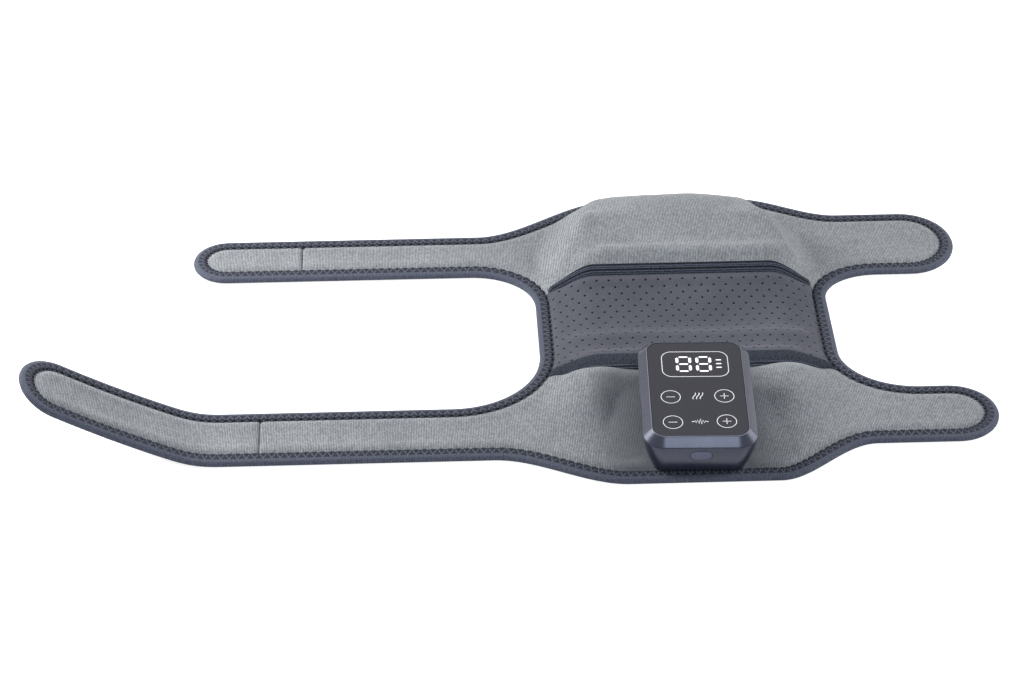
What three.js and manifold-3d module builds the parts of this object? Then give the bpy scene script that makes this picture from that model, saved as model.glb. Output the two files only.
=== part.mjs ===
// Knee massager wrap, in millimetres: two heated wings joined by a vented knee panel, with two long
// straps to the left, two short tabs to the right and a controller on the near wing.
// The origin is under the middle of the knee panel, on the skin side. +X runs to the tabs, +Y to the
// domed far wing and +Z out of the face with the controller.
import * as THREE from 'three';
import { mergeVertices } from 'three/addons/utils/BufferGeometryUtils.js';
import Module from 'manifold-3d';

const wasm = await Module();
wasm.setup();

// Gap between touching pieces, and how far a cutting tool passes its work
const clearance = 0.3;
const overrun = 2;

// Cloth layers of the bound edge, from the table up
const bindingCloth = 0.6;
const liningThickness = 0.7;
const panelThickness = 1.2;
const edgeThickness = 2 * bindingCloth + 3 * clearance + liningThickness + panelThickness;
const liningTuck = bindingCloth + clearance;
const panelTuck = liningTuck + liningThickness + clearance;

// Edge binding: a folded tape that grips both cloths
const bindingWidth = 8.5;
const bindingRound = 1.2;
const bindingFold = 1.5;
const foldGap = 0.8;
const riseRun = 2.1;
const clothInset = bindingFold + foldGap;
const tuckEnd = bindingWidth + 2 * clearance;
const riseEnd = tuckEnd + riseRun;

// Plan of the knee panel and of the two wings
const strapSideWaist = 91;
const tabSideWaist = 90;
const nearSeam = 43.5;
const farSeam = 41;
const nearReach = 149;
const farReach = 149;

// Fold lines where the straps and tabs bend, counted from the origin
const strapFold = 150;
const tabFold = 139;

// Straps and tabs: y of the edge towards the knee and of the outer edge, reach from the origin,
// length of the rounded tip and of a strap's end piece
const nearStrap = { inner: 75, outer: 123.5, reach: 406, tip: 24, endPiece: 148 };
const farStrap = { inner: 66.5, outer: 110, reach: 305, tip: 22, endPiece: 69 };
const nearTab = { inner: 63, outer: 116, reach: 177, tip: 27 };
const farTab = { inner: 60, outer: 127, reach: 179, tip: 31 };

// Sewn joint of each strap and its end piece, and the start of the hook patch under it
const nearStrapSeam = nearStrap.reach - nearStrap.endPiece;
const farStrapSeam = farStrap.reach - farStrap.endPiece;
const hookLead = 12;

// The near strap's end curls up off the table
const curlStart = 284;
const curlRadius = 40;
const curlAngle = THREE.MathUtils.degToRad(26.5);

// Places along X where each wing's outer edge leaves the strap and meets the tab
const nearBulge = { leftFrom: 122, leftTo: 45, rightFrom: 42, rightTo: 102 };
const farBulge = { leftFrom: 125, leftTo: 38, rightFrom: 45, rightTo: 108 };

// Rounded inner corners between the waist and the straps and tabs: run along X and rise along Y
const leftFarCorner = { run: 39, rise: 36 };
const leftNearCorner = { run: 54, rise: 53 };
const rightFarCorner = { run: 35, rise: 28 };
const rightNearCorner = { run: 45, rise: 38 };

// Heights of the outer cloth on the centre line
const kneeDip = 8.3;
const kneeDipPlace = 12;
const farSeamHeight = 22;
const domeHeight = 31;
const domeCrest = 104;

// The padded middle is flat between these half lengths, and level with the edge past them
const padFlat = 54;
const padEnd = 92;

// Seam tapes
const tapeThickness = 0.9;
const nearTape = { toKnee: 9, toWing: 7.5, atCorner: 3 };
const farTape = { toKnee: 4, toWing: 4, atCorner: 2.5 };

// Steps of the soft surfaces
const edgeStep = 10;
const stationStep = 10;
const cornerStep = 5;
const kneeSpans = 6;
const strapStep = 32;
const curlSteps = 4;
const tipSteps = 14;
const turnSteps = 16;

// Rows across the wings between their edges, and the rise and fall of the knee panel and of the dome,
// chosen by hand from the photograph
const nearShares = [0.3, 0.65];
const farShares = [0.2, 0.42, 0.62, 0.76, 0.88, 0.95];
const kneeRiseShare = 0.2;
const levelShares = [0, 0.06, 0.16, 0.36, 0.6, 0.8, 1];
const taperShare = 1.6;
const tipShares = [0.6, 0.15];
const rowShares = [0.55, 0.15];
const roundShare = 0.49;
const domeShares = { front: [[0.33, 0.55], [0.68, 0.9]], back: [[0.48, 0.2], [0.8, 0.62]] };

// Pads and heating films inside the wings
const filmThickness = 0.3;
const filmHalfLength = 66;
const filmMargin = 25;
const filmCorner = 6;
const sensor = { length: 5, width: 3, height: 1.2, x: 48, nearY: -98, farY: 116 };

// Controller: origin at the middle of its front, at the level of its base
const controllerX = -5.3;
const controllerOverhang = 0.8;
const controllerY = -nearReach - controllerOverhang;
const controllerZ = 4.6;
const controllerTilt = THREE.MathUtils.degToRad(4.2);
const controllerYaw = THREE.MathUtils.degToRad(-1.6);
const caseWidth = 65.4;
const caseLength = 94;
const caseEdge = 22.6;
const caseChamfer = 4.7;
const caseCorner = 12.5;
const caseWall = 1.8;
const caseFloor = 2;
const baseInset = 6.7;
const rimStep = 0.4;
const faceDepth = 1.3;
const faceLedge = 2.5;
const skirtDepth = 2;
const skirtWall = 1.2;

// Things in the controller
const batteryWidth = 31;
const batteryLength = 56;
const batteryHeight = 7.6;
const boardThickness = 1.2;
const boardWidth = 50;
const boardLength = 78;
const postRadius = 3;
const postHeight = 9.6;
const postX = 19.6;
const postFront = 22;
const postBack = 72;
const displayWidth = 37;
const displayLength = 22;
const displayHeight = 2.4;
const touchLength = 48;
const touchThickness = 1;

// Power key in the front wall, and its switch
const keyWidth = 12.3;
const keyHeight = 7.8;
const keyPlace = 16.4;
const keyTravel = 0.6;
const keyFlange = 1;
const keyFlangeThickness = 0.9;
const keyProud = 0.3;
const keyStem = 1.2;
const switchWidth = 6;
const switchDepth = 3.4;
const switchPlunger = 1.4;

// Charging socket in the back wall
const socketWidth = 9;
const socketHeight = 3.3;
const socketDepth = 7.4;
const socketWall = 0.35;

// Plate and screws that hold the controller through the cloth
const plateThickness = 1.6;
const plateHalfWidth = 25;
const plateFront = 16;
const plateBack = 78;
const plateCorner = 5;
const screwRadius = 1.25;
const screwHead = 2.6;
const screwHeadDepth = 1.2;
const screwReach = 6;

// Vibration modules in the far pad
const moduleY = 88;
const moduleZ = 15;
const moduleCentre = 35;
const moduleLength = 44;
const moduleRadius = 10;
const moduleWall = 1.2;
const capStep = 2;
const canLength = 20;
const shaftRadius = 1;
const shaftGap = 0.3;
const shaftLength = 17;
const shaftTail = 4;
const weightRadius = 7;
const weightLength = 9;

// Flat cable to the far wing and lead to the near film
const cableWidth = 8;
const cableX = 3;
const cableThickness = 0.8;
const cableBranch = 6;
const cableEnd = 66;
const leadWidth = 4;
const leadX = -14;
const cableSlot = 82.5;

// Smooth helpers
const { lerp, smoothstep } = THREE.MathUtils;

function evenly(from, to, step) {
  const count = Math.max(1, Math.round(Math.abs(to - from) / step));
  return Array.from({ length: count + 1 }, (_, i) => lerp(from, to, i / count));
}

// Smooth height through points, each slope taken from its two neighbours
function profile(points) {
  const slopes = points.map((point, i) => {
    const before = points[Math.max(i - 1, 0)];
    const after = points[Math.min(i + 1, points.length - 1)];
    return (after[1] - before[1]) / (after[0] - before[0]);
  });
  return (place) => {
    let i = 0;
    while (i < points.length - 2 && place > points[i + 1][0]) i += 1;
    const width = points[i + 1][0] - points[i][0];
    const t = THREE.MathUtils.clamp((place - points[i][0]) / width, 0, 1);
    const fall = 2 * t ** 3 - 3 * t ** 2 + 1;
    const start = (t ** 3 - 2 * t ** 2 + t) * width * slopes[i];
    const end = (t ** 3 - t ** 2) * width * slopes[i + 1];
    return points[i][1] * fall + points[i + 1][1] * (1 - fall) + start + end;
  };
}

// Closed solids from points and triangles, faces turned outwards
function closedSolid(points, triangles) {
  const geometry = new THREE.BufferGeometry();
  let volume = 0;
  for (const [a, b, c] of triangles) {
    volume += points[a].dot(points[b].clone().cross(points[c]));
  }
  const turned = volume < 0 ? triangles.map(([a, b, c]) => [a, c, b]) : triangles;
  geometry.setAttribute('position', new THREE.Float32BufferAttribute(points.flatMap((p) => p.toArray()), 3));
  geometry.setIndex(turned.flat());
  return geometry;
}

function toSolid(geometry) {
  const bare = geometry.clone();
  bare.deleteAttribute('normal');
  bare.deleteAttribute('uv');
  const merged = mergeVertices(bare);
  return new wasm.Manifold(new wasm.Mesh({
    numProp: 3,
    vertProperties: merged.attributes.position.array,
    triVerts: new Uint32Array(merged.index.array),
  }));
}

function toGeometry(solid) {
  const mesh = solid.getMesh();
  const geometry = new THREE.BufferGeometry();
  geometry.setAttribute('position', new THREE.BufferAttribute(mesh.vertProperties, 3));
  geometry.setIndex(new THREE.BufferAttribute(mesh.triVerts, 1));
  return geometry;
}

const cut = (geometry, tools) => (
  toGeometry(tools.reduce((left, tool) => left.subtract(toSolid(tool)), toSolid(geometry))));
const join = (geometries) => toGeometry(geometries.map(toSolid).reduce((sum, next) => sum.add(next)));
const keep = (geometry, tool) => toGeometry(toSolid(geometry).intersect(toSolid(tool)));

// Rings of equally many points joined into a tube: closed on itself, or capped by the triangles given
function loft(rings, capTriangles) {
  const size = rings[0].length;
  const triangles = [];
  const spans = capTriangles ? rings.length - 1 : rings.length;
  for (let i = 0; i < spans; i += 1) {
    const next = (i + 1) % rings.length;
    for (let j = 0; j < size; j += 1) {
      const k = (j + 1) % size;
      const [a, b] = [i * size + j, i * size + k];
      const [c, d] = [next * size + k, next * size + j];
      triangles.push([a, b, c], [a, c, d]);
    }
  }
  const last = (rings.length - 1) * size;
  for (const [a, b, c] of capTriangles ?? []) {
    triangles.push([a, c, b], [last + a, last + b, last + c]);
  }
  return closedSolid(rings.flat(), triangles);
}

// Triangles of an outline, turned the way that the outline runs
function outlineCap(outline) {
  const { area, triangulateShape } = THREE.ShapeUtils;
  return triangulateShape(outline, []).map(([a, b, c]) => (
    area([outline[a], outline[b], outline[c]]) * area(outline) > 0 ? [a, b, c] : [a, c, b]));
}

const fan = (size) => Array.from({ length: size - 2 }, (_, i) => [0, i + 1, i + 2]);

// A thin sheet over stations along X: rows(x) lists [y, bottom, top] from the low edge to the high one.
// Its faces are split the same way above and below, so stacked sheets keep their gap.
function sheet(stations, rows, place = (point) => point) {
  const grid = stations.map(rows);
  const [length, across] = [stations.length, grid[0].length];
  const layer = (level) => grid.flatMap((row, i) => row.map((cell) => (
    place(new THREE.Vector3(stations[i], cell[0], cell[level])))));
  const top = length * across;
  const triangles = [];
  const addFace = (a, b, c, d) => triangles.push([a, b, c], [a, c, d]);
  for (let i = 0; i < length - 1; i += 1) {
    for (let j = 0; j < across - 1; j += 1) {
      const [a, b, c, d] = [i, i + 1, i + 1, i].map((k, corner) => k * across + j + (corner > 1 ? 1 : 0));
      triangles.push([a, c, b], [a, d, c]);
      addFace(top + a, top + b, top + c, top + d);
    }
  }
  for (let i = 0; i < length - 1; i += 1) {
    const [low, high] = [i * across, i * across + across - 1];
    addFace(low, low + across, top + low + across, top + low);
    addFace(high + across, high, top + high, top + high + across);
  }
  for (let j = 0; j < across - 1; j += 1) {
    const end = (length - 1) * across + j;
    addFace(j + 1, j, top + j, top + j + 1);
    addFace(end, end + 1, top + end + 1, top + end);
  }
  return closedSolid([...layer(1), ...layer(2)], triangles);
}

// Edge lines in plan: the cloth lies to the left of the way they run
function inset(line, distance) {
  return line.map((point, i) => {
    const before = line[Math.max(i - 1, 0)];
    const after = line[Math.min(i + 1, line.length - 1)];
    const along = after.clone().sub(before).normalize();
    return new THREE.Vector2(point.x - along.y * distance, point.y + along.x * distance);
  });
}

// Height in Y of a line at a place along X, or nothing where the line doesn't reach
function crossing(line, x) {
  const places = line.map((point) => point.x);
  const [low, high] = [Math.min(...places), Math.max(...places)];
  if (x < low - clearance || x > high + clearance) return undefined;
  const place = THREE.MathUtils.clamp(x, low, high);
  const i = places.findIndex((start, k) => (
    start !== places[k + 1] && (place - start) * (place - places[k + 1]) <= 0));
  return lerp(line[i].y, line[i + 1].y, (place - places[i]) / (places[i + 1] - places[i]));
}

// Distance in plan from a point to a line
function distanceTo(line, x, y) {
  const point = new THREE.Vector3(x, y, 0);
  const nearest = new THREE.Vector3();
  const raised = line.map((place) => new THREE.Vector3(place.x, place.y, 0));
  return Math.min(...raised.slice(1).map((end, i) => (
    new THREE.Line3(raised[i], end).closestPointToPoint(point, true, nearest).distanceTo(point))));
}

const bindingSection = [
  [bindingWidth, 0],
  [bindingRound, 0],
  [0, bindingRound],
  [0, edgeThickness - bindingRound],
  [bindingRound, edgeThickness],
  [bindingWidth, edgeThickness],
  [bindingWidth, edgeThickness - bindingCloth],
  [bindingFold, edgeThickness - bindingCloth],
  [bindingFold, bindingCloth],
  [bindingWidth, bindingCloth],
];

function binding(line, place = (point) => point) {
  const shifted = bindingSection.map(([inwards]) => inset(line, inwards));
  const rings = line.map((_, i) => bindingSection.map(([, height], j) => place(
    new THREE.Vector3(shifted[j][i].x, shifted[j][i].y, height),
  )));
  const section = bindingSection.map(([inwards, height]) => new THREE.Vector2(inwards, height));
  return loft(rings, outlineCap(section));
}

// The wings end a nose's radius short of each fold line, where the strap has a half-round nose
const noseRadius = edgeThickness / 2;
const noseSteps = 4;
const rootEnd = noseRadius + clearance;
const leftEnd = -strapFold + rootEnd;
const rightEnd = tabFold - rootEnd;

// Outer edges of the wings
function outerEdge(x, strap, tab, reach, bulge) {
  const left = lerp(strap.outer, reach, smoothstep(x, -bulge.leftFrom, -bulge.leftTo));
  const right = lerp(reach, tab.outer, smoothstep(x, bulge.rightFrom, bulge.rightTo));
  return x < 0 ? left : right;
}

const nearEdgeLine = evenly(leftEnd, rightEnd, edgeStep).map((x) => (
  new THREE.Vector2(x, -outerEdge(x, nearStrap, nearTab, nearReach, nearBulge))));
const farEdgeLine = evenly(rightEnd, leftEnd, edgeStep).map((x) => (
  new THREE.Vector2(x, outerEdge(x, farStrap, farTab, farReach, farBulge))));

// Inner corner from the waist to a strap or tab: side is -1 on the left and 1 on the right, way is 1
// towards the far wing and -1 towards the near one
function innerCorner(side, way, waist, corner, level, end) {
  const steps = Math.round((corner.run + corner.rise) / edgeStep);
  const centre = new THREE.Vector2(side * (waist + corner.run), way * (level - corner.rise));
  const arc = Array.from({ length: steps + 1 }, (_, i) => {
    const angle = (Math.PI / 2) * (i / steps);
    return new THREE.Vector2(
      centre.x - side * corner.run * Math.cos(angle),
      centre.y + way * corner.rise * Math.sin(angle),
    );
  });
  return [...arc, new THREE.Vector2(end, way * level)];
}

const leftFarLine = innerCorner(-1, 1, strapSideWaist, leftFarCorner, farStrap.inner, leftEnd).reverse();
const leftNearLine = innerCorner(-1, -1, strapSideWaist, leftNearCorner, nearStrap.inner, leftEnd);
const rightNearLine = innerCorner(1, -1, tabSideWaist, rightNearCorner, nearTab.inner, rightEnd).reverse();
const rightFarLine = innerCorner(1, 1, tabSideWaist, rightFarCorner, farTab.inner, rightEnd);

// Top of the outer cloth. Under the controller it is flat and follows the controller's base.
const controllerPose = new THREE.Matrix4().makeTranslation(controllerX, controllerY, controllerZ)
  .multiply(new THREE.Matrix4().makeRotationZ(controllerYaw))
  .multiply(new THREE.Matrix4().makeRotationX(controllerTilt));
const baseNormal = new THREE.Vector3(0, 0, 1).transformDirection(controllerPose);

function baseHeight(x, y) {
  const slide = baseNormal.x * (x - controllerX) + baseNormal.y * (y - controllerY);
  return controllerZ - slide / baseNormal.z - clearance;
}

const kneeProfile = profile([
  [-nearSeam, baseHeight(0, -nearSeam)],
  [-kneeDipPlace, kneeDip],
  [kneeDipPlace, lerp(kneeDip, farSeamHeight, kneeRiseShare)],
  [farSeam, farSeamHeight],
]);
const domeProfile = profile([
  [farSeam, farSeamHeight],
  ...domeShares.front.map(([along, up]) => [
    lerp(farSeam, domeCrest, along),
    lerp(farSeamHeight, domeHeight, up),
  ]),
  [domeCrest, domeHeight],
  ...domeShares.back.map(([along, down]) => [
    lerp(domeCrest, farReach - bindingWidth, along),
    lerp(domeHeight, edgeThickness, down),
  ]),
  [farReach - bindingWidth, edgeThickness],
]);

const padded = (x) => 1 - smoothstep(Math.abs(x), padFlat, padEnd);

function clothTop(x, y) {
  let height = baseHeight(x, y);
  if (y > -nearSeam) height = kneeProfile(y);
  if (y > farSeam) height = domeProfile(y);
  return lerp(edgeThickness, height, padded(x));
}

// The cloth carries a foam layer that fills its edge, and is thin where a pad lifts it
function clothBottom(x, y) {
  return lerp(liningThickness + clearance, clothTop(x, y) - panelThickness, padded(x));
}

// Stations along X that the panels, pads and tapes share
const kneeLeft = [-strapSideWaist + clothInset, -strapSideWaist + tuckEnd];
const kneeRight = [tabSideWaist - tuckEnd, tabSideWaist - clothInset];
const innerStations = evenly(-strapSideWaist + riseEnd, tabSideWaist - riseEnd, stationStep);
const wingStations = [
  ...evenly(leftEnd, innerStations.at(0), cornerStep).slice(0, -1),
  ...innerStations,
  ...evenly(innerStations.at(-1), rightEnd, cornerStep).slice(1),
];
const edgeInsets = [clothInset, tuckEnd, riseEnd];

// Rows across a wing at one station, from low Y to high: tucked into the binding at a bound edge, cut
// straight along the seam, and tucked there too where the seam runs in under the waist binding
function wingRows(way, seam, outerLine, leftLine, rightLine, insideShares) {
  const outerLines = edgeInsets.map((distance) => inset(outerLine, distance));
  const leftLines = edgeInsets.map((distance) => inset(leftLine, distance));
  const rightLines = edgeInsets.map((distance) => inset(rightLine, distance));
  return (x) => {
    const corner = x < 0 ? leftLines : rightLines;
    const outer = outerLines.map((line, i) => ({ y: crossing(line, x), tucked: i < 2 }));
    const inner = edgeInsets.map((distance, i) => {
      const free = way * (seam + distance - clothInset);
      const bound = crossing(corner[i], x);
      if (bound !== undefined && way * bound > way * free) return { y: bound, tucked: i < 2 };
      return { y: free, tucked: distanceTo(x < 0 ? leftLine : rightLine, x, free) < tuckEnd + stationStep };
    });
    const middle = insideShares.map((share) => ({ y: lerp(inner[2].y, outer[2].y, share), tucked: false }));
    const rows = [...inner, ...middle, ...outer.reverse()];
    return way > 0 ? rows : rows.reverse();
  };
}

const halfGap = clearance / 2;
const nearRows = wingRows(-1, nearSeam + halfGap, nearEdgeLine, leftNearLine, rightNearLine, nearShares);
const farRows = wingRows(1, farSeam + halfGap, farEdgeLine, leftFarLine, rightFarLine, farShares);

function clothPanel(stations, rows) {
  return sheet(stations, (x) => rows(x).map(({ y, tucked }) => (
    tucked ? [y, panelTuck, panelTuck + panelThickness] : [y, clothBottom(x, y), clothTop(x, y)])));
}

function lining(stations, rows) {
  return sheet(stations, (x) => [...rows(x).slice(0, 4), ...rows(x).slice(-4)].map(({ y, tucked }) => {
    const bottom = tucked ? liningTuck : 0;
    return [y, bottom, bottom + liningThickness];
  }));
}

// Half widths of the seam tapes, narrowing to the corners
function tapeEdges(tape, x) {
  const narrow = 1 - padded(x);
  return [lerp(tape.toWing, tape.atCorner, narrow), lerp(tape.toKnee, tape.atCorner, narrow)];
}

function seamTape(seam, way, tape) {
  return sheet([kneeLeft[0], ...innerStations, kneeRight[1]], (x) => {
    const [toWing, toKnee] = tapeEdges(tape, x);
    const rows = [way * (seam + toWing), way * seam, way * (seam - toKnee)];
    if (way > 0) rows.reverse();
    return rows.map((y) => [y, clothTop(x, y) + clearance, clothTop(x, y) + clearance + tapeThickness]);
  });
}

function kneeRows(x) {
  const tucked = kneeLeft.includes(x) || kneeRight.includes(x);
  const [start, end] = [-nearSeam + tapeEdges(nearTape, x)[1], farSeam - tapeEdges(farTape, x)[1]];
  const between = evenly(start, end, (end - start) / kneeSpans);
  return [-nearSeam + halfGap, ...between, farSeam - halfGap].map((y) => ({ y, tucked }));
}

const kneeStations = [...kneeLeft, ...innerStations, ...kneeRight];

// Plain solids
function box(x, y, z) {
  const size = [x, y, z].map(([from, to]) => to - from);
  const centre = [x, y, z].map(([from, to]) => (from + to) / 2);
  return new THREE.BoxGeometry(...size).translate(...centre);
}

function roundedShape(width, height, corner) {
  const [right, top] = [width / 2, height / 2];
  const shape = new THREE.Shape();
  shape.absarc(right - corner, top - corner, corner, 0, Math.PI / 2);
  shape.absarc(corner - right, top - corner, corner, Math.PI / 2, Math.PI);
  shape.absarc(corner - right, corner - top, corner, Math.PI, 1.5 * Math.PI);
  shape.absarc(right - corner, corner - top, corner, 1.5 * Math.PI, 2 * Math.PI);
  return shape;
}

const prism = (shape, depth, curveSegments = 3) => (
  new THREE.ExtrudeGeometry(shape, { depth, curveSegments, bevelEnabled: false }));

// A flat plate with rounded corners between two levels
function plate([left, right], [front, back], [bottom, top], corner) {
  return prism(roundedShape(right - left, back - front, corner), top - bottom)
    .translate((left + right) / 2, (front + back) / 2, bottom);
}

// Turns that stand a shape's depth along X or along Y
const alongX = new THREE.Matrix4().makeBasis(
  new THREE.Vector3(0, 1, 0), new THREE.Vector3(0, 0, 1), new THREE.Vector3(1, 0, 0));
const alongY = new THREE.Matrix4().makeBasis(
  new THREE.Vector3(-1, 0, 0), new THREE.Vector3(0, 0, 1), new THREE.Vector3(0, 1, 0));

function turned(profilePoints) {
  const outline = profilePoints.map(([radius, along]) => new THREE.Vector2(radius, along));
  return new THREE.LatheGeometry(outline, turnSteps);
}

// Materials
const finish = (color, roughness, metalness) => (
  new THREE.MeshStandardMaterial({ color, roughness, metalness }));
const looks = {
  loopCloth: finish(0x9aa2a5, 0.95, 0),
  kneeCloth: finish(0x585a63, 0.85, 0),
  bindingCloth: finish(0x505563, 0.9, 0),
  tapeCloth: finish(0x464b58, 0.9, 0),
  liningCloth: finish(0x3c4049, 0.95, 0),
  hook: finish(0x2a2c31, 0.8, 0),
  foam: finish(0xd9d5c6, 1, 0),
  film: finish(0xc48a35, 0.4, 0),
  cable: finish(0x202226, 0.5, 0),
  caseShell: finish(0x4a4f68, 0.35, 0.3),
  face: finish(0x45464c, 0.3, 0),
  key: finish(0x555a72, 0.4, 0.2),
  board: finish(0x1f6b41, 0.5, 0),
  plastic: finish(0x2b2d31, 0.5, 0),
  steel: finish(0xb8bcc2, 0.35, 1),
  battery: finish(0x8f98a3, 0.45, 0.4),
  display: finish(0x111317, 0.3, 0),
};

const massager = new THREE.Group();
const controller = new THREE.Group();
controller.applyMatrix4(controllerPose);
massager.add(controller);

function addPiece(name, geometry, look, carrier = massager) {
  const mesh = new THREE.Mesh(geometry, look);
  mesh.name = name;
  carrier.add(mesh);
  return mesh;
}

// Levels inside the wings: heating film on the lining, pad on the film
const filmLevel = liningThickness + clearance;
const padLevel = filmLevel + filmThickness + clearance;

function padBlock(rows) {
  return sheet(innerStations.slice(1, -1), (x) => rows(x).filter(({ tucked }) => !tucked).map(({ y }) => (
    [y, padLevel, clothBottom(x, y) - clearance])));
}

// Cable slot and screws, in the controller's own frame
const cableSide = [cableX - cableWidth / 2, cableX + cableWidth / 2];
const leadSide = [leadX - leadWidth / 2, leadX + leadWidth / 2];
const slotSpan = [leadSide[0] - controllerX - 2 * clearance, cableSide[1] - controllerX + 2 * clearance];
const slotTool = box(
  slotSpan,
  [cableSlot - cableThickness / 2 - clearance, cableSlot + cableThickness / 2 + clearance],
  [-domeHeight, caseFloor + overrun],
);
const plateTop = -panelThickness - 2 * clearance;
const plateBottom = plateTop - plateThickness;
const screwPlaces = [[-postX, postFront], [postX, postFront], [-postX, postBack], [postX, postBack]];

function screwBody(gap) {
  const start = plateBottom - (gap > 0 ? domeHeight : 0);
  const profilePoints = [
    [0, start],
    [screwHead + gap, start],
    [screwHead + gap, plateBottom],
    [screwRadius + gap, plateBottom + screwHeadDepth],
    [screwRadius + gap, screwReach + gap],
    [0, screwReach + gap],
  ];
  return turned(gap > 0 ? profilePoints : profilePoints.filter((_, i) => i !== 1)).rotateX(Math.PI / 2);
}

const screwTools = screwPlaces.map(([x, y]) => screwBody(clearance).translate(x, y, 0));
const throughCloth = [slotTool, ...screwTools].map((tool) => tool.clone().applyMatrix4(controllerPose));

// Flat cable: down from the main board, under the knee panel and along the modules
const boardLevel = caseFloor + postHeight + clearance;
const cableLevel = padLevel + clearance;
const cableBand = [cableLevel, cableLevel + cableThickness];
const slotPlace = new THREE.Vector3(0, cableSlot, 0).applyMatrix4(controllerPose);
const cableDrop = [
  (cableLevel + cableThickness / 2 - slotPlace.z) / baseNormal.z,
  boardLevel - clearance,
];

function riser(side) {
  return box(
    side.map((x) => x - controllerX),
    [cableSlot - cableThickness / 2, cableSlot + cableThickness / 2],
    cableDrop,
  ).applyMatrix4(controllerPose);
}

const moduleEnd = moduleLength + clearance + moduleWall;
const moduleSpan = [moduleCentre - moduleEnd / 2, moduleCentre + moduleEnd / 2];
const branchSpan = [-moduleSpan[0] - cableBranch, moduleSpan[0] + cableBranch];
const riserTop = moduleZ - moduleRadius - clearance;

function cableBody(gap) {
  const wide = ([from, to]) => [from - gap, to + gap];
  const branchY = wide([cableEnd - cableBranch, cableEnd]);
  const moduleTail = wide([moduleY - cableThickness, moduleY + cableThickness]);
  const trunkStart = slotPlace.y + cableDrop[0] * baseNormal.y - cableThickness;
  const trunk = box(wide(cableSide), wide([trunkStart, cableEnd]), wide(cableBand));
  const branch = box(wide(branchSpan), branchY, wide(cableBand));
  const tails = [-1, 1].flatMap((side) => {
    const middle = side * (moduleSpan[0] + cableBranch / 2);
    const span = wide([middle - cableBranch / 2, middle + cableBranch / 2]);
    return [
      box(span, [branchY[0], moduleTail[1]], wide(cableBand)),
      box(span, moduleTail, wide([cableBand[0], riserTop])),
    ];
  });
  return join([trunk, branch, ...tails]);
}

// Wings and knee panel
addPiece('near_wing_panel', cut(clothPanel(wingStations, nearRows), throughCloth), looks.loopCloth);
addPiece('far_wing_panel', clothPanel(wingStations, farRows), looks.loopCloth);
addPiece('knee_panel', clothPanel(kneeStations, kneeRows), looks.kneeCloth);
addPiece('near_wing_lining', lining(wingStations, nearRows), looks.liningCloth);
addPiece('far_wing_lining', lining(wingStations, farRows), looks.liningCloth);
addPiece('knee_lining', lining(kneeStations, kneeRows), looks.liningCloth);
addPiece('near_seam_tape', seamTape(nearSeam, -1, nearTape), looks.tapeCloth);
addPiece('far_seam_tape', seamTape(farSeam, 1, farTape), looks.tapeCloth);
addPiece('near_edge_binding', binding(nearEdgeLine), looks.bindingCloth);
addPiece('far_edge_binding', binding(farEdgeLine), looks.bindingCloth);
addPiece('left_waist_binding', binding([...leftFarLine, ...leftNearLine]), looks.bindingCloth);
addPiece('right_waist_binding', binding([...rightNearLine, ...rightFarLine]), looks.bindingCloth);

// Heating films with their temperature sensors
function film(inner, outer) {
  const ends = [inner, outer].sort((a, b) => a - b);
  return plate([-filmHalfLength, filmHalfLength], ends, [filmLevel, filmLevel + filmThickness], filmCorner);
}

function sensorBlock(y, gap) {
  return box(
    [sensor.x - sensor.length / 2 - gap, sensor.x + sensor.length / 2 + gap],
    [y - sensor.width / 2 - gap, y + sensor.width / 2 + gap],
    [padLevel - gap, padLevel + sensor.height + gap],
  );
}

addPiece('near_heating_film', film(-nearSeam - clearance, -nearReach + filmMargin), looks.film);
addPiece('far_heating_film', film(farSeam + clearance, farReach - filmMargin), looks.film);
addPiece('near_temperature_sensor', sensorBlock(sensor.nearY, 0), looks.plastic);
addPiece('far_temperature_sensor', sensorBlock(sensor.farY, 0), looks.plastic);

// Pads: the near one is open where the plate sits, the far one has a pocket for each module
const plateWindow = box(
  [-plateHalfWidth - clearance, plateHalfWidth + clearance],
  [plateFront - clearance, plateBack + clearance],
  [-domeHeight, 0],
).applyMatrix4(controllerPose);

function modulePocket(side) {
  const reach = moduleRadius + clearance;
  const outline = new THREE.Shape();
  outline.moveTo(-reach, -moduleZ);
  outline.lineTo(reach, -moduleZ);
  outline.absarc(0, 0, reach, 0, Math.PI);
  const [from, to] = moduleSpan.map((x) => side * x).sort((a, b) => a - b);
  return prism(outline, to - from + 2 * clearance, turnSteps / 2).applyMatrix4(alongX)
    .translate(from - clearance, moduleY, moduleZ);
}

const cableChannel = cableBody(clearance);
addPiece('near_foam_pad', cut(padBlock(nearRows), [
  plateWindow, cableChannel, throughCloth[0], sensorBlock(sensor.nearY, clearance),
]), looks.foam);
addPiece('far_foam_pad', cut(padBlock(farRows), [
  modulePocket(-1), modulePocket(1), cableChannel, sensorBlock(sensor.farY, clearance),
]), looks.foam);
addPiece('far_wing_cable', join([cableBody(0), riser(cableSide)]), looks.cable);
addPiece('near_film_lead', riser(leadSide), looks.cable);

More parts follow.
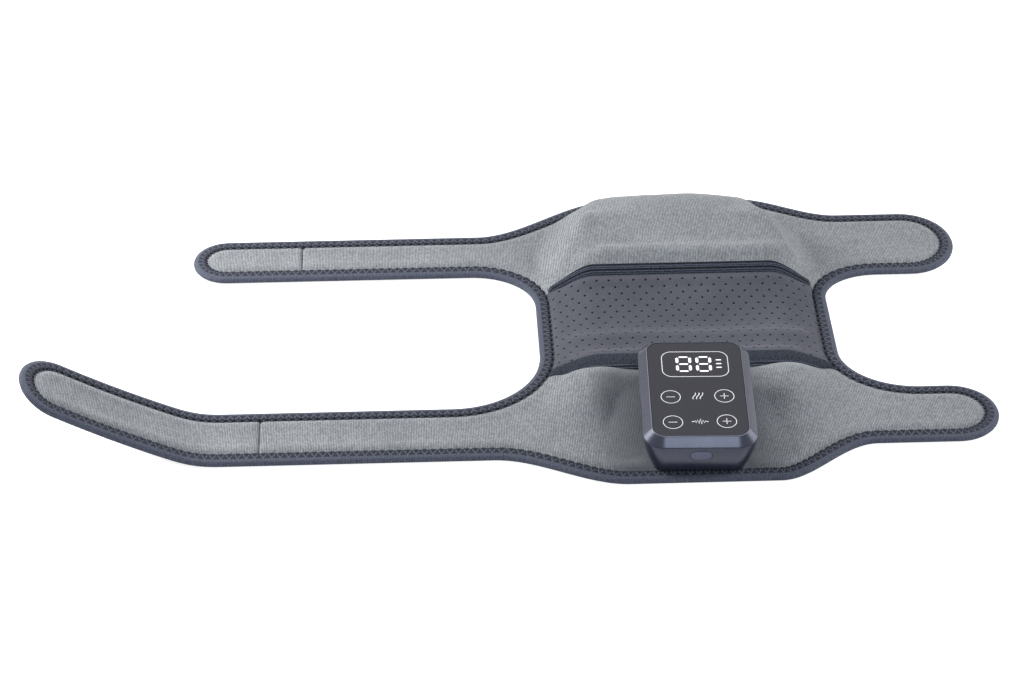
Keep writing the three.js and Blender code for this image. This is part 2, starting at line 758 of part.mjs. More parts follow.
// Vibration modules: the closed end of each sleeve points outwards
const sleeveBore = moduleRadius - moduleWall;
const canFace = moduleWall + clearance + canLength;
const canBody = sleeveBore - clearance;
const moduleParts = {
  motor_sleeve: [looks.plastic, turned([
    [0, 0], [moduleRadius, 0], [moduleRadius, moduleLength],
    [sleeveBore, moduleLength], [sleeveBore, moduleWall], [0, moduleWall],
  ])],
  motor_cap: [looks.plastic, turned([
    [0, moduleLength - capStep], [sleeveBore - clearance, moduleLength - capStep],
    [sleeveBore - clearance, moduleLength + clearance], [moduleRadius, moduleLength + clearance],
    [moduleRadius, moduleEnd], [0, moduleEnd],
  ])],
  motor_can: [looks.steel, turned([
    [0, moduleWall + clearance], [canBody, moduleWall + clearance], [canBody, canFace],
    [shaftRadius + shaftGap, canFace], [shaftRadius + shaftGap, canFace - shaftTail - clearance],
    [0, canFace - shaftTail - clearance],
  ])],
  motor_rotor: [looks.steel, join([
    turned([
      [0, canFace - shaftTail], [shaftRadius, canFace - shaftTail],
      [shaftRadius, canFace - shaftTail + shaftLength], [0, canFace - shaftTail + shaftLength],
    ]),
    prism(new THREE.Shape().absarc(0, 0, weightRadius, 0, Math.PI), weightLength)
      .rotateX(-Math.PI / 2).translate(0, canFace + overrun, 0),
  ])],
};
for (const [side, word] of [[-1, 'left'], [1, 'right']]) {
  for (const [name, [look, geometry]] of Object.entries(moduleParts)) {
    const mesh = addPiece(`${word}_${name}`, geometry, look);
    mesh.rotation.z = side * Math.PI / 2;
    mesh.position.set(side * (moduleCentre + moduleEnd / 2), moduleY, moduleZ);
  }
}

// Straps and tabs. Each has a half-round nose at its fold line, so it bends either way.
const nearCurlLength = curlRadius * curlAngle;

// Bends a point of the near strap up along the curl: an arc from its start, then straight
function curled(point) {
  const past = -point.x - curlStart;
  if (past <= 0) return point;
  const angle = Math.min(past / curlRadius, curlAngle);
  const straight = Math.max(past - nearCurlLength, 0);
  const arm = curlRadius - point.z;
  return new THREE.Vector3(
    -curlStart - arm * Math.sin(angle) - straight * Math.cos(angle),
    point.y,
    curlRadius - arm * Math.cos(angle) + straight * Math.sin(angle),
  );
}

// Tool that keeps what lies past a fold line, with a half-round nose about the fold
function foldTool(side, fold, far) {
  const shape = new THREE.Shape();
  shape.moveTo(far, -noseRadius - overrun);
  shape.lineTo(far, noseRadius + far);
  shape.lineTo(0, noseRadius + far);
  shape.lineTo(0, noseRadius);
  shape.absarc(0, 0, noseRadius, Math.PI / 2, 1.5 * Math.PI);
  shape.lineTo(0, -noseRadius - overrun);
  const breadth = nearReach + farReach;
  const tool = prism(shape, breadth, noseSteps).applyMatrix4(alongY);
  if (side > 0) tool.rotateZ(Math.PI);
  return tool.translate(side * fold, side > 0 ? breadth / 2 : -breadth / 2, noseRadius);
}

function buildStrap({ name, side, way, strap, seam, place = (point) => point }) {
  const fold = side < 0 ? strapFold : tabFold;
  const middle = way * (strap.inner + strap.outer) / 2;
  const width = strap.outer - strap.inner;
  const round = strap.reach - strap.tip;
  const start = fold - noseRadius;

  // Half width of the outline drawn in by a distance, at a distance from the origin
  const halfAt = (from, drawnIn) => {
    const along = Math.max(from - round, 0) / Math.max(strap.tip - drawnIn, noseRadius);
    return (width / 2 - drawnIn) * Math.sqrt(Math.max(1 - along * along, 0));
  };
  const straights = [start, ...evenly(fold, round, strapStep)];
  const curls = evenly(curlStart, curlStart + nearCurlLength, nearCurlLength / curlSteps);
  const runs = [...straights, ...(place === curled ? curls : [])].sort((a, b) => a - b);
  const tipArc = evenly(-Math.PI / 2, Math.PI / 2, Math.PI / tipSteps).slice(1, -1);
  const line = [
    ...runs.map((from) => [from, -width / 2]),
    ...tipArc.map((angle) => [round + strap.tip * Math.cos(angle), (width / 2) * Math.sin(angle)]),
    ...runs.slice().reverse().map((from) => [from, width / 2]),
  ].map(([from, offset]) => new THREE.Vector2(side * from, middle + side * offset));

  const tipInsets = [riseEnd, tuckEnd, ...tipShares.map((share) => lerp(clothInset, tuckEnd, share))];
  const tipPlaces = tipInsets.map((drawnIn) => strap.reach - drawnIn);
  const rows = (from) => {
    const outer = halfAt(from, clothInset);
    const second = Math.max(halfAt(from, tuckEnd), rowShares[0] * outer);
    const third = Math.max(halfAt(from, riseEnd), rowShares[1] * outer);
    const beyond = from > strap.reach - tuckEnd - halfGap;
    return [-outer, -second, -third, 0, third, second, outer].map((offset) => (
      { y: middle + offset, tucked: beyond || Math.abs(offset) >= second }));
  };
  const layer = (from, to, levels) => {
    const between = [...runs, ...tipPlaces].filter((x) => x > from && x < to).sort((a, b) => a - b);
    return sheet(
      [from, ...between, to].map((x) => side * x),
      (x) => rows(Math.abs(x)).map(({ y, tucked }) => [y, ...levels(tucked)]),
      place,
    );
  };
  const clothLevels = (tucked) => (tucked
    ? [panelTuck, panelTuck + panelThickness]
    : [liningThickness + clearance, edgeThickness]);
  const liningLevels = (tucked) => (tucked
    ? [liningTuck, liningTuck + liningThickness]
    : [0, liningThickness]);
  const tipEnd = tipPlaces.at(-1);
  const nose = foldTool(side, fold, strap.reach);
  const rounded = (geometry) => keep(geometry, nose);

  addPiece(`${name}_panel`, rounded(layer(start, seam ?? tipEnd, clothLevels)), looks.loopCloth);
  addPiece(`${name}_binding`, rounded(binding(line, place)), looks.bindingCloth);
  const liningEnd = seam ? seam + hookLead : tipEnd;
  addPiece(`${name}_lining`, rounded(layer(start, liningEnd, liningLevels)), looks.liningCloth);
  if (seam) {
    addPiece(`${name}_end_panel`, layer(seam + clearance, tipEnd, clothLevels), looks.loopCloth);
    addPiece(`${name}_hook_patch`, layer(seam + hookLead + clearance, tipEnd, liningLevels), looks.hook);
  }
}

const straps = [
  { name: 'near_strap', side: -1, way: -1, strap: nearStrap, seam: nearStrapSeam, place: curled },
  { name: 'far_strap', side: -1, way: 1, strap: farStrap, seam: farStrapSeam },
  { name: 'near_tab', side: 1, way: -1, strap: nearTab },
  { name: 'far_tab', side: 1, way: 1, strap: farTab },
];
straps.forEach(buildStrap);

// Controller case: rings of a rounded rectangle, drawn in by a distance at a height
const ringSteps = 5;
function caseRing(drawnIn, height) {
  const radius = Math.max(caseCorner - drawnIn, caseWall);
  const [halfWidth, front, back] = [caseWidth / 2 - drawnIn, drawnIn, caseLength - drawnIn];
  const corners = [
    [halfWidth - radius, back - radius], [radius - halfWidth, back - radius],
    [radius - halfWidth, front + radius], [halfWidth - radius, front + radius],
  ];
  return corners.flatMap(([x, y], i) => Array.from({ length: ringSteps + 1 }, (_, j) => {
    const angle = (Math.PI / 2) * (i + j / ringSteps);
    return new THREE.Vector3(x + radius * Math.cos(angle), y + radius * Math.sin(angle), height);
  }));
}

// The lower body narrows to its base along a curve
const taper = (height) => baseInset * ((caseEdge - height) / caseEdge) ** taperShare;
const bodyLevels = levelShares.map((share) => share * caseEdge);
const capFan = fan(4 * (ringSteps + 1));
const lowerBody = loft([
  ...bodyLevels.map((height) => caseRing(taper(height), height)),
  ...bodyLevels.slice().reverse().filter((height) => height > caseFloor + caseWall)
    .map((height) => caseRing(taper(height) + caseWall, height)),
  caseRing(taper(caseFloor) + caseWall + rimStep, caseFloor),
], capFan);

const keyLean = Math.atan(taperShare * (taper(keyPlace) / (caseEdge - keyPlace)));
const keyPose = new THREE.Matrix4().makeTranslation(0, taper(keyPlace), keyPlace)
  .multiply(new THREE.Matrix4().makeRotationX(keyLean));

// A bar with round sides along Y in the key's own frame, outwards being -Y
function keyBar(width, height, [from, to]) {
  return prism(roundedShape(width, height, roundShare * height), to - from)
    .applyMatrix4(alongY).translate(0, from, 0);
}

const flangeStart = caseWall + 2 * clearance;
const flangeEnd = flangeStart + keyFlangeThickness;
const keyHole = keyBar(keyWidth + 2 * clearance, keyHeight + 2 * clearance, [-overrun, caseWall + overrun])
  .applyMatrix4(keyPose);
const socketLevel = boardLevel + boardThickness + clearance;
const socketMiddle = socketLevel + socketHeight / 2;
const socketMouth = caseLength - taper(socketMiddle) - clearance;
const socketHole = keyBar(socketWidth + 2 * clearance, socketHeight + 2 * clearance,
  [caseLength - taper(socketLevel) - caseWall - overrun, caseLength + overrun]).translate(0, 0, socketMiddle);
const postLength = postHeight + caseFloor / 2;
const post = new THREE.CylinderGeometry(postRadius, postRadius, postLength, turnSteps)
  .rotateX(Math.PI / 2).translate(0, 0, caseFloor + postHeight - postLength / 2);
const posts = screwPlaces.map(([x, y]) => post.clone().translate(x, y, 0));

addPiece('bottom_case', cut(join([lowerBody, ...posts]), [slotTool, ...screwTools, keyHole, socketHole]),
  looks.caseShell, controller);

const caseTop = caseEdge + clearance + caseChamfer;
const recess = caseChamfer + rimStep;
const skirtOuter = caseWall + clearance + halfGap;
const keyNotch = keyBar(keyWidth + 2 * keyFlange + 2 * clearance, keyHeight + 2 * keyFlange + 2 * clearance,
  [0, flangeEnd + keyTravel + clearance]).applyMatrix4(keyPose);
const topFrame = loft([
  caseRing(skirtOuter, caseEdge + clearance),
  caseRing(0, caseEdge + clearance),
  caseRing(caseChamfer, caseTop),
  caseRing(recess, caseTop),
  caseRing(recess, caseTop - faceDepth),
  caseRing(recess + faceLedge, caseTop - faceDepth),
  caseRing(recess + faceLedge, caseTop - faceDepth - skirtWall),
  caseRing(skirtOuter + skirtWall, caseEdge + clearance),
  caseRing(skirtOuter + skirtWall, caseEdge - skirtDepth),
  caseRing(skirtOuter, caseEdge - skirtDepth),
]);
addPiece('top_case', cut(topFrame, [keyNotch]), looks.caseShell, controller);
addPiece('touch_panel', loft([
  caseRing(recess + clearance, caseTop - faceDepth + clearance),
  caseRing(recess + clearance, caseTop),
], capFan), looks.face, controller);

// Electronics hang under the touch panel or stand on the posts
const underFace = caseTop - faceDepth;
const windowInset = recess + faceLedge + clearance;
const windowCorner = caseCorner - recess - faceLedge;
addPiece('display_module', plate(
  [-displayWidth / 2, displayWidth / 2],
  [caseLength - windowInset - displayLength, caseLength - windowInset],
  [underFace - displayHeight, underFace],
  caseWall,
), looks.display, controller);
addPiece('touch_board', plate(
  [-caseWidth / 2 + windowInset, caseWidth / 2 - windowInset],
  [windowInset, windowInset + touchLength],
  [underFace - touchThickness, underFace],
  windowCorner,
), looks.board, controller);
const boardFront = (caseLength - boardLength) / 2;
addPiece('main_board', plate(
  [-boardWidth / 2, boardWidth / 2],
  [boardFront, boardFront + boardLength],
  [boardLevel, boardLevel + boardThickness],
  caseWall,
), looks.board, controller);
addPiece('battery', plate(
  [-batteryWidth / 2, batteryWidth / 2],
  [postFront - postRadius, postFront - postRadius + batteryLength],
  [caseFloor + clearance, caseFloor + clearance + batteryHeight],
  caseWall,
), looks.battery, controller);

// Power key: face, guide flange and stem in one, with the switch behind it
const stemEnd = flangeEnd + keyStem;
addPiece('power_button', join([
  keyBar(keyWidth, keyHeight, [-keyProud, flangeEnd]),
  keyBar(keyWidth + 2 * keyFlange, keyHeight + 2 * keyFlange, [flangeStart, flangeEnd]),
  keyBar(keyHeight / 2, keyHeight / 2, [0, stemEnd]),
]).applyMatrix4(keyPose), looks.key, controller);
const stemTip = new THREE.Vector3(0, stemEnd, 0).applyMatrix4(keyPose);
const plungerFront = stemTip.y + keyTravel + clearance;
addPiece('button_switch', join([
  box(
    [-switchWidth / 2, switchWidth / 2],
    [plungerFront + switchPlunger, plungerFront + switchPlunger + switchDepth],
    [socketLevel, stemTip.z + switchWidth / 3],
  ),
  keyBar(keyHeight / 3, keyHeight / 3, [plungerFront, plungerFront + 2 * switchPlunger])
    .translate(0, 0, stemTip.z),
]), looks.plastic, controller);

// Charging socket: an open-mouthed shell on the main board
addPiece('charging_socket', cut(
  keyBar(socketWidth, socketHeight, [socketMouth - socketDepth, socketMouth]),
  [keyBar(socketWidth - 2 * socketWall, socketHeight - 2 * socketWall,
    [socketMouth - socketDepth + socketWall, socketMouth + overrun])],
).translate(0, 0, socketMiddle), looks.steel, controller);

// Plate under the cloth, and its screws up into the posts
addPiece('fixing_plate', cut(
  plate([-plateHalfWidth, plateHalfWidth], [plateFront, plateBack], [plateBottom, plateTop], plateCorner),
  screwTools,
), looks.steel, controller);
for (const [i, [x, y]] of screwPlaces.entries()) {
  addPiece(`fixing_screw_${i + 1}`, screwBody(0).translate(x, y, 0), looks.steel, controller);
}

export default massager;
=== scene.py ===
import math
from functools import partial

import bmesh
import bpy
import numpy as np
from bpy.props import FloatProperty, FloatVectorProperty, PointerProperty
from mathutils import Matrix, Vector, noise


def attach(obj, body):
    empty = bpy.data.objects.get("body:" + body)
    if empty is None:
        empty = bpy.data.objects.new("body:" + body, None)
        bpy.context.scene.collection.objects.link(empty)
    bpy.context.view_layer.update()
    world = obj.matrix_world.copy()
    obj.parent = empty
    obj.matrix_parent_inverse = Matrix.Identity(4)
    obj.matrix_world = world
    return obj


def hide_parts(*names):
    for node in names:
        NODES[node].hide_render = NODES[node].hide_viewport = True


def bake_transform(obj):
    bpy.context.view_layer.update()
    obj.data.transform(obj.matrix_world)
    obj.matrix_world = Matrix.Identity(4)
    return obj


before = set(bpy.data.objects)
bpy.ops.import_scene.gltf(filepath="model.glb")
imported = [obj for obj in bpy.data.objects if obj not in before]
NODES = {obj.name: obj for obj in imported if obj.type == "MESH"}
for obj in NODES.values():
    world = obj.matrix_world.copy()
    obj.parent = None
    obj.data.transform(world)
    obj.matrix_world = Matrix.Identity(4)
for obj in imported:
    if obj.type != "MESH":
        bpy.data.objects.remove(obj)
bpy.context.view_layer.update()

bl_info = {
    "name": "Knee massager wrap",
    "version": (1, 0, 0),
    "blender": (4, 5, 0),
    "location": "View3D > Sidebar > Wrap",
    "description": "Builds the cloth, straps, controller and studio of a knee massager wrap",
    "category": "Add Mesh",
}

MM = 0.001

# Plan of the wrap in millimetres, as the solids have it
EDGE = 4.0
FLAP = 8.5
CLOTH = 1.2
LINING = 0.7
GAP = 0.3
CLOTH_INSET = 2.3
NEAR_SEAM, FAR_SEAM = 43.5, 41.0
LEFT_WAIST, RIGHT_WAIST = 91.0, 90.0
REACH = 149.0
STRAP_FOLD, TAB_FOLD = 150.0, 139.0
NEAR_STRAP = {"inner": 75.0, "outer": 123.5, "reach": 406.0, "tip": 24.0, "seam": 258.0}
FAR_STRAP = {"inner": 66.5, "outer": 110.0, "reach": 305.0, "tip": 22.0, "seam": 236.0}
NEAR_TAB = {"inner": 63.0, "outer": 116.0, "reach": 177.0, "tip": 27.0}
FAR_TAB = {"inner": 60.0, "outer": 127.0, "reach": 179.0, "tip": 31.0}
HOOK_LEAD = 12.0
NEAR_BULGE = (122.0, 45.0, 42.0, 102.0)
FAR_BULGE = (125.0, 38.0, 45.0, 108.0)
CORNERS = {
    "left_far": (39.0, 36.0), "left_near": (54.0, 53.0),
    "right_far": (35.0, 28.0), "right_near": (45.0, 38.0),
}
CURL_START = 277.0
KNEE_DIP, KNEE_DIP_PLACE, FAR_SEAM_HEIGHT = 8.3, 12.0, 22.0
DOME_HEIGHT, DOME_CREST = 31.0, 104.0
PAD_FLAT, PAD_END = 54.0, 92.0
NEAR_TAPE = (9.0, 7.5, 3.0)
FAR_TAPE = (4.0, 4.0, 2.5)
# Where the cloth of the wings hands over to the pieces of the straps and tabs
LEFT_SPLIT, RIGHT_SPLIT = -118.0, 112.0
LEFT_INNER_SPLIT, RIGHT_INNER_SPLIT = -136.0, 126.0
BEND_REACH = 7.0
# Where a layer of cloth rises out of the folded binding, and where it lies free, as distances from the edge
RISE, FREE = (7.8, 11.0), (9, 24)
# Heights at which the binding holds the cloth and the lining
HELD_LOW, HELD_HIGH, LINING_HELD = 1.9, 3.1, 0.9
LEAST_CLOTH = 0.6
# Grid steps, in millimetres, of the loop cloth, of the knee's cloth and tapes, and of the linings
CLOTH_STEP, KNEE_STEP, LINING_STEP = 1.6, 1.2, 2.5
# Zigzag of the binding's stitching, and the points of its folded section, as distances from the edge
STITCH_MIDDLE, STITCH_SWING, STITCH_HOLE = 5.8, 2.3, 7.9
FOLD_ANGLES = np.radians((-90, -55, -22, 10, 42, 70, 95))
UPPER_PLACES = (2.9, 3.6, 4.2, 4.7, 5.2, 5.7, 6.2, 6.7, 7.2, 7.7, 8.1, 8.45)
BINDING_TOP, BINDING_WALL = 4.02, 0.6
# Soft folds of the far wing's cloth: height, width and line
FAR_LINES = (
    (3.4, 5.5, ((51, 94), (55, 86), (63, 73), (70, 61))),
    (2.1, 6, ((-46, 56), (56, 55))),
    (2.4, 6.5, ((-57, 92), (-63, 80), (-70, 66), (-79, 52))),
)
# Mounds and hollows of the wings' cloth: height, centre and reach
FAR_MOUNDS = ((2.2, (68, 58), (10, 7)), (-3.1, (38, 72), (14, 9)), (-2.2, (80, 80), (10, 14)),
              (-2.3, (-40, 72), (15, 10)), (-1.8, (-84, 76), (9, 14)))
NEAR_MOUNDS = ((6.6, (-68, -70), (20, 25)), (5.2, (60, -72), (17, 24)),
               (-4.6, (-41, -94), (13, 27)), (-3.6, (32, -94), (12, 27)))

# Controller in its own frame: front edge on y = 0, base on z = 0
CONTROLLER_TURN, CONTROLLER_TILT = math.radians(1.6), math.radians(4.2)
CONTROLLER = (Matrix.Translation((-5.3 * MM, -149.8 * MM, 4.6 * MM))
              @ Matrix.Rotation(-CONTROLLER_TURN, 4, "Z") @ Matrix.Rotation(CONTROLLER_TILT, 4, "X"))
CASE = {"width": 65.4, "length": 94.0, "edge": 22.6, "chamfer": 4.7, "inset": 6.7, "corner": 12.5,
        "wall": 1.8, "taper": 1.6, "rim": 0.4, "face_depth": 1.3}
CASE_LEVELS = (CASE["edge"], 21.4, 19.6, 17.2, 14.2, 11, 8, 5.2, 3, 1.3, 0)
CASE_TOP = CASE["edge"] + GAP + CASE["chamfer"]
KEY = {"width": 12.3, "height": 7.8, "place": 16.4}
SOCKET = {"width": 9.6, "height": 3.9, "place": 11.4}
# How far each turn of the top frame and of the key's face runs inwards and how far it rises
FRAME_STEPS = ((0.12, 0.45), (CASE["chamfer"] - 0.5, CASE["chamfer"] - 0.6), (0.38, 0.15), (0.12, 0.14), (0.36, 0.0))
KEY_STEPS = ((0.28, 0.22), (0.9, 0.10), (0.9, 0.04))
SMOOTH_ANGLE = math.radians(40)
DISPLAY = {"centre": (0.0, 69.0), "width": 39.0, "height": 23.0}
# Place of each touch key, and whether its sign is a plus
TOUCH_KEYS = ((-15.7, 39.6, False), (15.2, 40.1, True), (-15.6, 17.3, False), (15.2, 17.8, True))
KEY_RING, SIGN, MARK_LINE = (5.55, 0.42), 5.2, 0.44
HEAT_WAVES = (-2.3, -0.2, 1.9)
BEATS = ((-5.4, 0), (-4.2, 0.1), (-3.4, 0.9), (-2.6, -0.9), (-1.7, 1.7), (-0.9, -2.2), (0.1, 2.9), (1.0, -2.5),
         (1.9, 1.5), (2.7, -1.1), (3.4, 0.8), (4.1, 0.0), (5.2, 0.1))
DIGITS = {"sides": ((-11.2, -2.0), (0.5, 9.7)), "low": 62.1, "high": 76.0, "thin": 1.15, "thick": 1.7}

# Studio: what the camera sees of the floor, the even light of the sky, each lamp's place, aim, size, power and tone
FLOOR_SHADE, FLOOR_GLOW = (0.72, 0.72, 0.73), 0.8
SKY = ((0.93, 0.95, 1), 0.27)
LIGHTS = (
    ("left_light", (-0.72, 0.25, 0.46), (-0.1, 0.04, 0), 0.5, 9.2),
    ("right_light", (0.85, 0.14, 0.42), (0.02, 0, 0), 0.6, 6.2),
    ("front_light", (0.13, -1.2, 1.15), (0, -0.1, 0.04), 0.5, 7.6, (0.84, 0.91, 1)),
)
CAMERA = {"place": (-0.1684, -1.5028, 1.0523), "rise": 35, "turn": -2.3, "focus": 3000, "photo_width": 1020}
SENSOR = 36
# Mirror strength of cloth
DULL = 0.12


def measure(name, description, value, least=0.0):
    """A length the user can set, its value and least value in millimetres."""
    return FloatProperty(name=name, description=description, default=value * MM, min=least * MM, unit="LENGTH")


class WrapSizes(bpy.types.PropertyGroup):
    stitch_pitch: measure("Stitch pitch", "Length of one zigzag of the binding's stitching", 4.9, 2)
    stitch_depth: measure("Stitch depth", "How far the thread pulls the binding in", 0.55)
    knit_pitch: measure("Knit pitch", "Distance between two ribs of the loop cloth", 0.95, 0.2)
    hole_pitch: measure("Hole pitch", "Distance between two vent holes of the knee panel along the knee", 7.6, 2)
    hole_width: measure("Hole width", "Width of one vent hole of the knee panel", 1.35, 0.2)
    softness: measure("Softness", "Height of the gentle waves in the cloth of the wings", 0.9)
    mark_height: measure("Mark height", "How far the printed marks stand above the face", 0.04)


def colour(name, description, value):
    return FloatVectorProperty(name=name, description=description, default=value, size=3,
                               min=0, max=1, subtype="COLOR")


class WrapColours(bpy.types.PropertyGroup):
    loop_light: colour("Loop cloth, light", "Raised yarn of the grey loop cloth", (0.445, 0.464, 0.480))
    # The dark tone also gives the painted shade beside the controller
    loop_dark: colour("Loop cloth, dark", "Hollows of the grey loop cloth", (0.105, 0.112, 0.124))
    knee: colour("Knee cloth", "Smooth perforated cloth over the knee", (0.088, 0.090, 0.110))
    binding: colour("Binding", "Folded tape round every edge", (0.080, 0.087, 0.116))
    tape: colour("Seam tape", "Ribbed tape over the seams", (0.022, 0.026, 0.035))
    lining: colour("Lining", "Soft cloth on the skin side", (0.075, 0.080, 0.096))
    hook: colour("Hook patch", "Hook side of the fastener", (0.032, 0.033, 0.038))
    case: colour("Case", "Satin metallic paint of the controller", (0.031, 0.035, 0.058))
    face: colour("Face", "Dark face of the controller", (0.034, 0.034, 0.041))
    mark: colour("Marks", "Printed marks and lit digits", (0.86, 0.86, 0.88))


def sizes():
    return bpy.context.scene.wrap_sizes


def tone_of(name):
    """One of the colours the user can set."""
    return tuple(getattr(bpy.context.scene.wrap_colours, name))


def running(steps):
    """Running total of steps, from nought."""
    return np.concatenate([[0], np.cumsum(steps)])


def evenly(start, end, step):
    return np.linspace(start, end, max(1, round(abs(end - start) / step)) + 1)


def smooth(x, low, high):
    t = np.clip((np.asarray(x, float) - low) / (high - low), 0, 1)
    return t * t * (3 - 2 * t)


def mix(a, b, t):
    return a + (b - a) * t


def wing_edge(x, strap, tab, bulge):
    """Distance from the knee line to a wing's outer edge."""
    left = mix(strap["outer"], REACH, smooth(x, -bulge[0], -bulge[1]))
    right = mix(REACH, tab["outer"], smooth(x, bulge[2], bulge[3]))
    return np.where(np.asarray(x) < 0, left, right)


def tip(side, way, strap):
    """Rounded end of a strap or tab, with the cloth to the left of the way it runs."""
    middle = way * (strap["inner"] + strap["outer"]) / 2
    half = (strap["outer"] - strap["inner"]) / 2
    angles = np.linspace(-math.pi / 2, math.pi / 2, 60)
    return [(side * (strap["reach"] - strap["tip"] + strap["tip"] * math.cos(a)), middle + side * half * math.sin(a))
            for a in angles]


def inner_corner(side, way, waist, corner, level):
    """Quarter of an oval where a strap or tab turns into the waist."""
    run, rise = corner
    centre = (side * (waist + run), way * (level - rise))
    return [(centre[0] - side * run * math.cos(a), centre[1] + way * rise * math.sin(a))
            for a in np.linspace(0, math.pi / 2, 60)]


def outline():
    """Closed outline of the wrap laid flat, in millimetres, with the cloth on its left."""
    near_x, far_x = evenly(-STRAP_FOLD, TAB_FOLD, 1), evenly(TAB_FOLD, -STRAP_FOLD, 1)
    points = [(x, -float(wing_edge(x, NEAR_STRAP, NEAR_TAB, NEAR_BULGE))) for x in near_x]
    points += tip(1, -1, NEAR_TAB)
    points += inner_corner(1, -1, RIGHT_WAIST, CORNERS["right_near"], NEAR_TAB["inner"])[::-1]
    points += inner_corner(1, 1, RIGHT_WAIST, CORNERS["right_far"], FAR_TAB["inner"])
    points += tip(1, 1, FAR_TAB)
    points += [(x, float(wing_edge(x, FAR_STRAP, FAR_TAB, FAR_BULGE))) for x in far_x]
    points += tip(-1, 1, FAR_STRAP)
    points += inner_corner(-1, 1, LEFT_WAIST, CORNERS["left_far"], FAR_STRAP["inner"])[::-1]
    points += inner_corner(-1, -1, LEFT_WAIST, CORNERS["left_near"], NEAR_STRAP["inner"])
    points += tip(-1, -1, NEAR_STRAP)
    points = np.array(points + points[:1])
    lengths = np.hypot(*np.diff(points, axis=0).T)
    points = points[np.concatenate([[True], lengths > 1e-6])]
    run = running(np.hypot(*np.diff(points, axis=0).T))
    turns = round(run[-1] / (sizes().stitch_pitch / MM))
    places = np.linspace(0, run[-1], turns * 8 + 1)[:-1]
    line = np.column_stack([np.interp(places, run, points[:, k]) for k in range(2)])
    for _ in range(4):
        line = (np.roll(line, 1, 0) + 2 * line + np.roll(line, -1, 0)) / 4
    ahead = np.roll(line, -1, 0) - np.roll(line, 1, 0)
    ahead /= np.linalg.norm(ahead, axis=1)[:, None]
    inwards = np.column_stack([-ahead[:, 1], ahead[:, 0]])
    return {"line": line, "inwards": inwards, "run": places, "turn": places / run[-1] * turns}


def profile(points):
    """Smooth height through points, with each slope taken from its two neighbours."""
    xs, ys = np.array(points).T
    before, after = np.maximum(np.arange(len(xs)) - 1, 0), np.minimum(np.arange(len(xs)) + 1, len(xs) - 1)
    slopes = (ys[after] - ys[before]) / (xs[after] - xs[before])

    def height(place):
        i = np.clip(np.searchsorted(xs, place) - 1, 0, len(xs) - 2)
        width = xs[i + 1] - xs[i]
        t = np.clip((place - xs[i]) / width, 0, 1)
        fall = 2 * t ** 3 - 3 * t ** 2 + 1
        start = (t ** 3 - 2 * t ** 2 + t) * width * slopes[i]
        end = (t ** 3 - t ** 2) * width * slopes[i + 1]
        return ys[i] * fall + ys[i + 1] * (1 - fall) + start + end
    return height


BASE_NORMAL = CONTROLLER.to_3x3() @ Vector((0, 0, 1))
BASE_PLACE = CONTROLLER.translation / MM


def base_height(x, y):
    """Height of the cloth that carries the controller's base."""
    slide = BASE_NORMAL.x * (x - BASE_PLACE.x) + BASE_NORMAL.y * (y - BASE_PLACE.y)
    return BASE_PLACE.z - slide / BASE_NORMAL.z - GAP


KNEE_PROFILE = profile([
    (-NEAR_SEAM, base_height(0, -NEAR_SEAM)), (-KNEE_DIP_PLACE, KNEE_DIP),
    (KNEE_DIP_PLACE, mix(KNEE_DIP, FAR_SEAM_HEIGHT, 0.2)), (FAR_SEAM, FAR_SEAM_HEIGHT)])
DOME_PROFILE = profile([
    (FAR_SEAM, FAR_SEAM_HEIGHT),
    *[(mix(FAR_SEAM, DOME_CREST, a), mix(FAR_SEAM_HEIGHT, DOME_HEIGHT, b)) for a, b in ((0.33, 0.55), (0.68, 0.9))],
    (DOME_CREST, DOME_HEIGHT),
    *[(mix(DOME_CREST, REACH - FLAP, a), mix(DOME_HEIGHT, EDGE, b)) for a, b in ((0.48, 0.2), (0.8, 0.62))],
    (REACH - FLAP, EDGE)])


def padded(x):
    """1 over the pads, falling to 0 towards the straps and tabs."""
    return 1 - smooth(np.abs(x), PAD_FLAT, PAD_END)


def cloth_top(x, y):
    """Height of the cloth's upper side, with the top of the dome arched and its back corners rounded."""
    height = base_height(x, y)
    height = np.where(y > -NEAR_SEAM, KNEE_PROFILE(y), height)
    height = np.where(y > FAR_SEAM, DOME_PROFILE(y), height)
    behind = np.maximum(y - 80, 0) / 8
    arch = np.where(x < 0, 0.0014, 0.0017) * x ** 2 * smooth(y, 86, 104)
    spread = np.where(x < 0, 0.013, 0.022) * behind ** 1.55
    return mix(EDGE, height - arch, padded(x * (1 + spread)))


def bell(x, middle, width):
    """1 at the middle, falling smoothly to 0 on both sides."""
    return np.exp(-((x - middle) / width) ** 2)


def along_line(x, y, points, width):
    """1 on a line of points, falling to 0 away from it."""
    best = np.full(np.shape(x), 1e9)
    for (x0, y0), (x1, y1) in zip(points, points[1:]):
        length = (x1 - x0) ** 2 + (y1 - y0) ** 2
        share = np.clip(((x - x0) * (x1 - x0) + (y - y0) * (y1 - y0)) / length, 0, 1)
        best = np.minimum(best, np.hypot(x - x0 - share * (x1 - x0), y - y0 - share * (y1 - y0)))
    return bell(best, 0, width)


def mound(x, y, centre, reach):
    return np.exp(-((x - centre[0]) / reach[0]) ** 2 - ((y - centre[1]) / reach[1]) ** 2)


def folds(x, y):
    """Soft folds and hollows that the pads and the controller press into the cloth of the wings."""
    far = smooth(y, FAR_SEAM + 1, FAR_SEAM + 9)
    near = smooth(-y, NEAR_SEAM + 1, NEAR_SEAM + 9)
    height = far * sum(rise * along_line(x, y, points, width) for rise, width, points in FAR_LINES)
    for share, mounds in ((far, FAR_MOUNDS), (near, NEAR_MOUNDS)):
        height = height + share * sum(rise * mound(x, y, centre, reach) for rise, centre, reach in mounds)
    return height


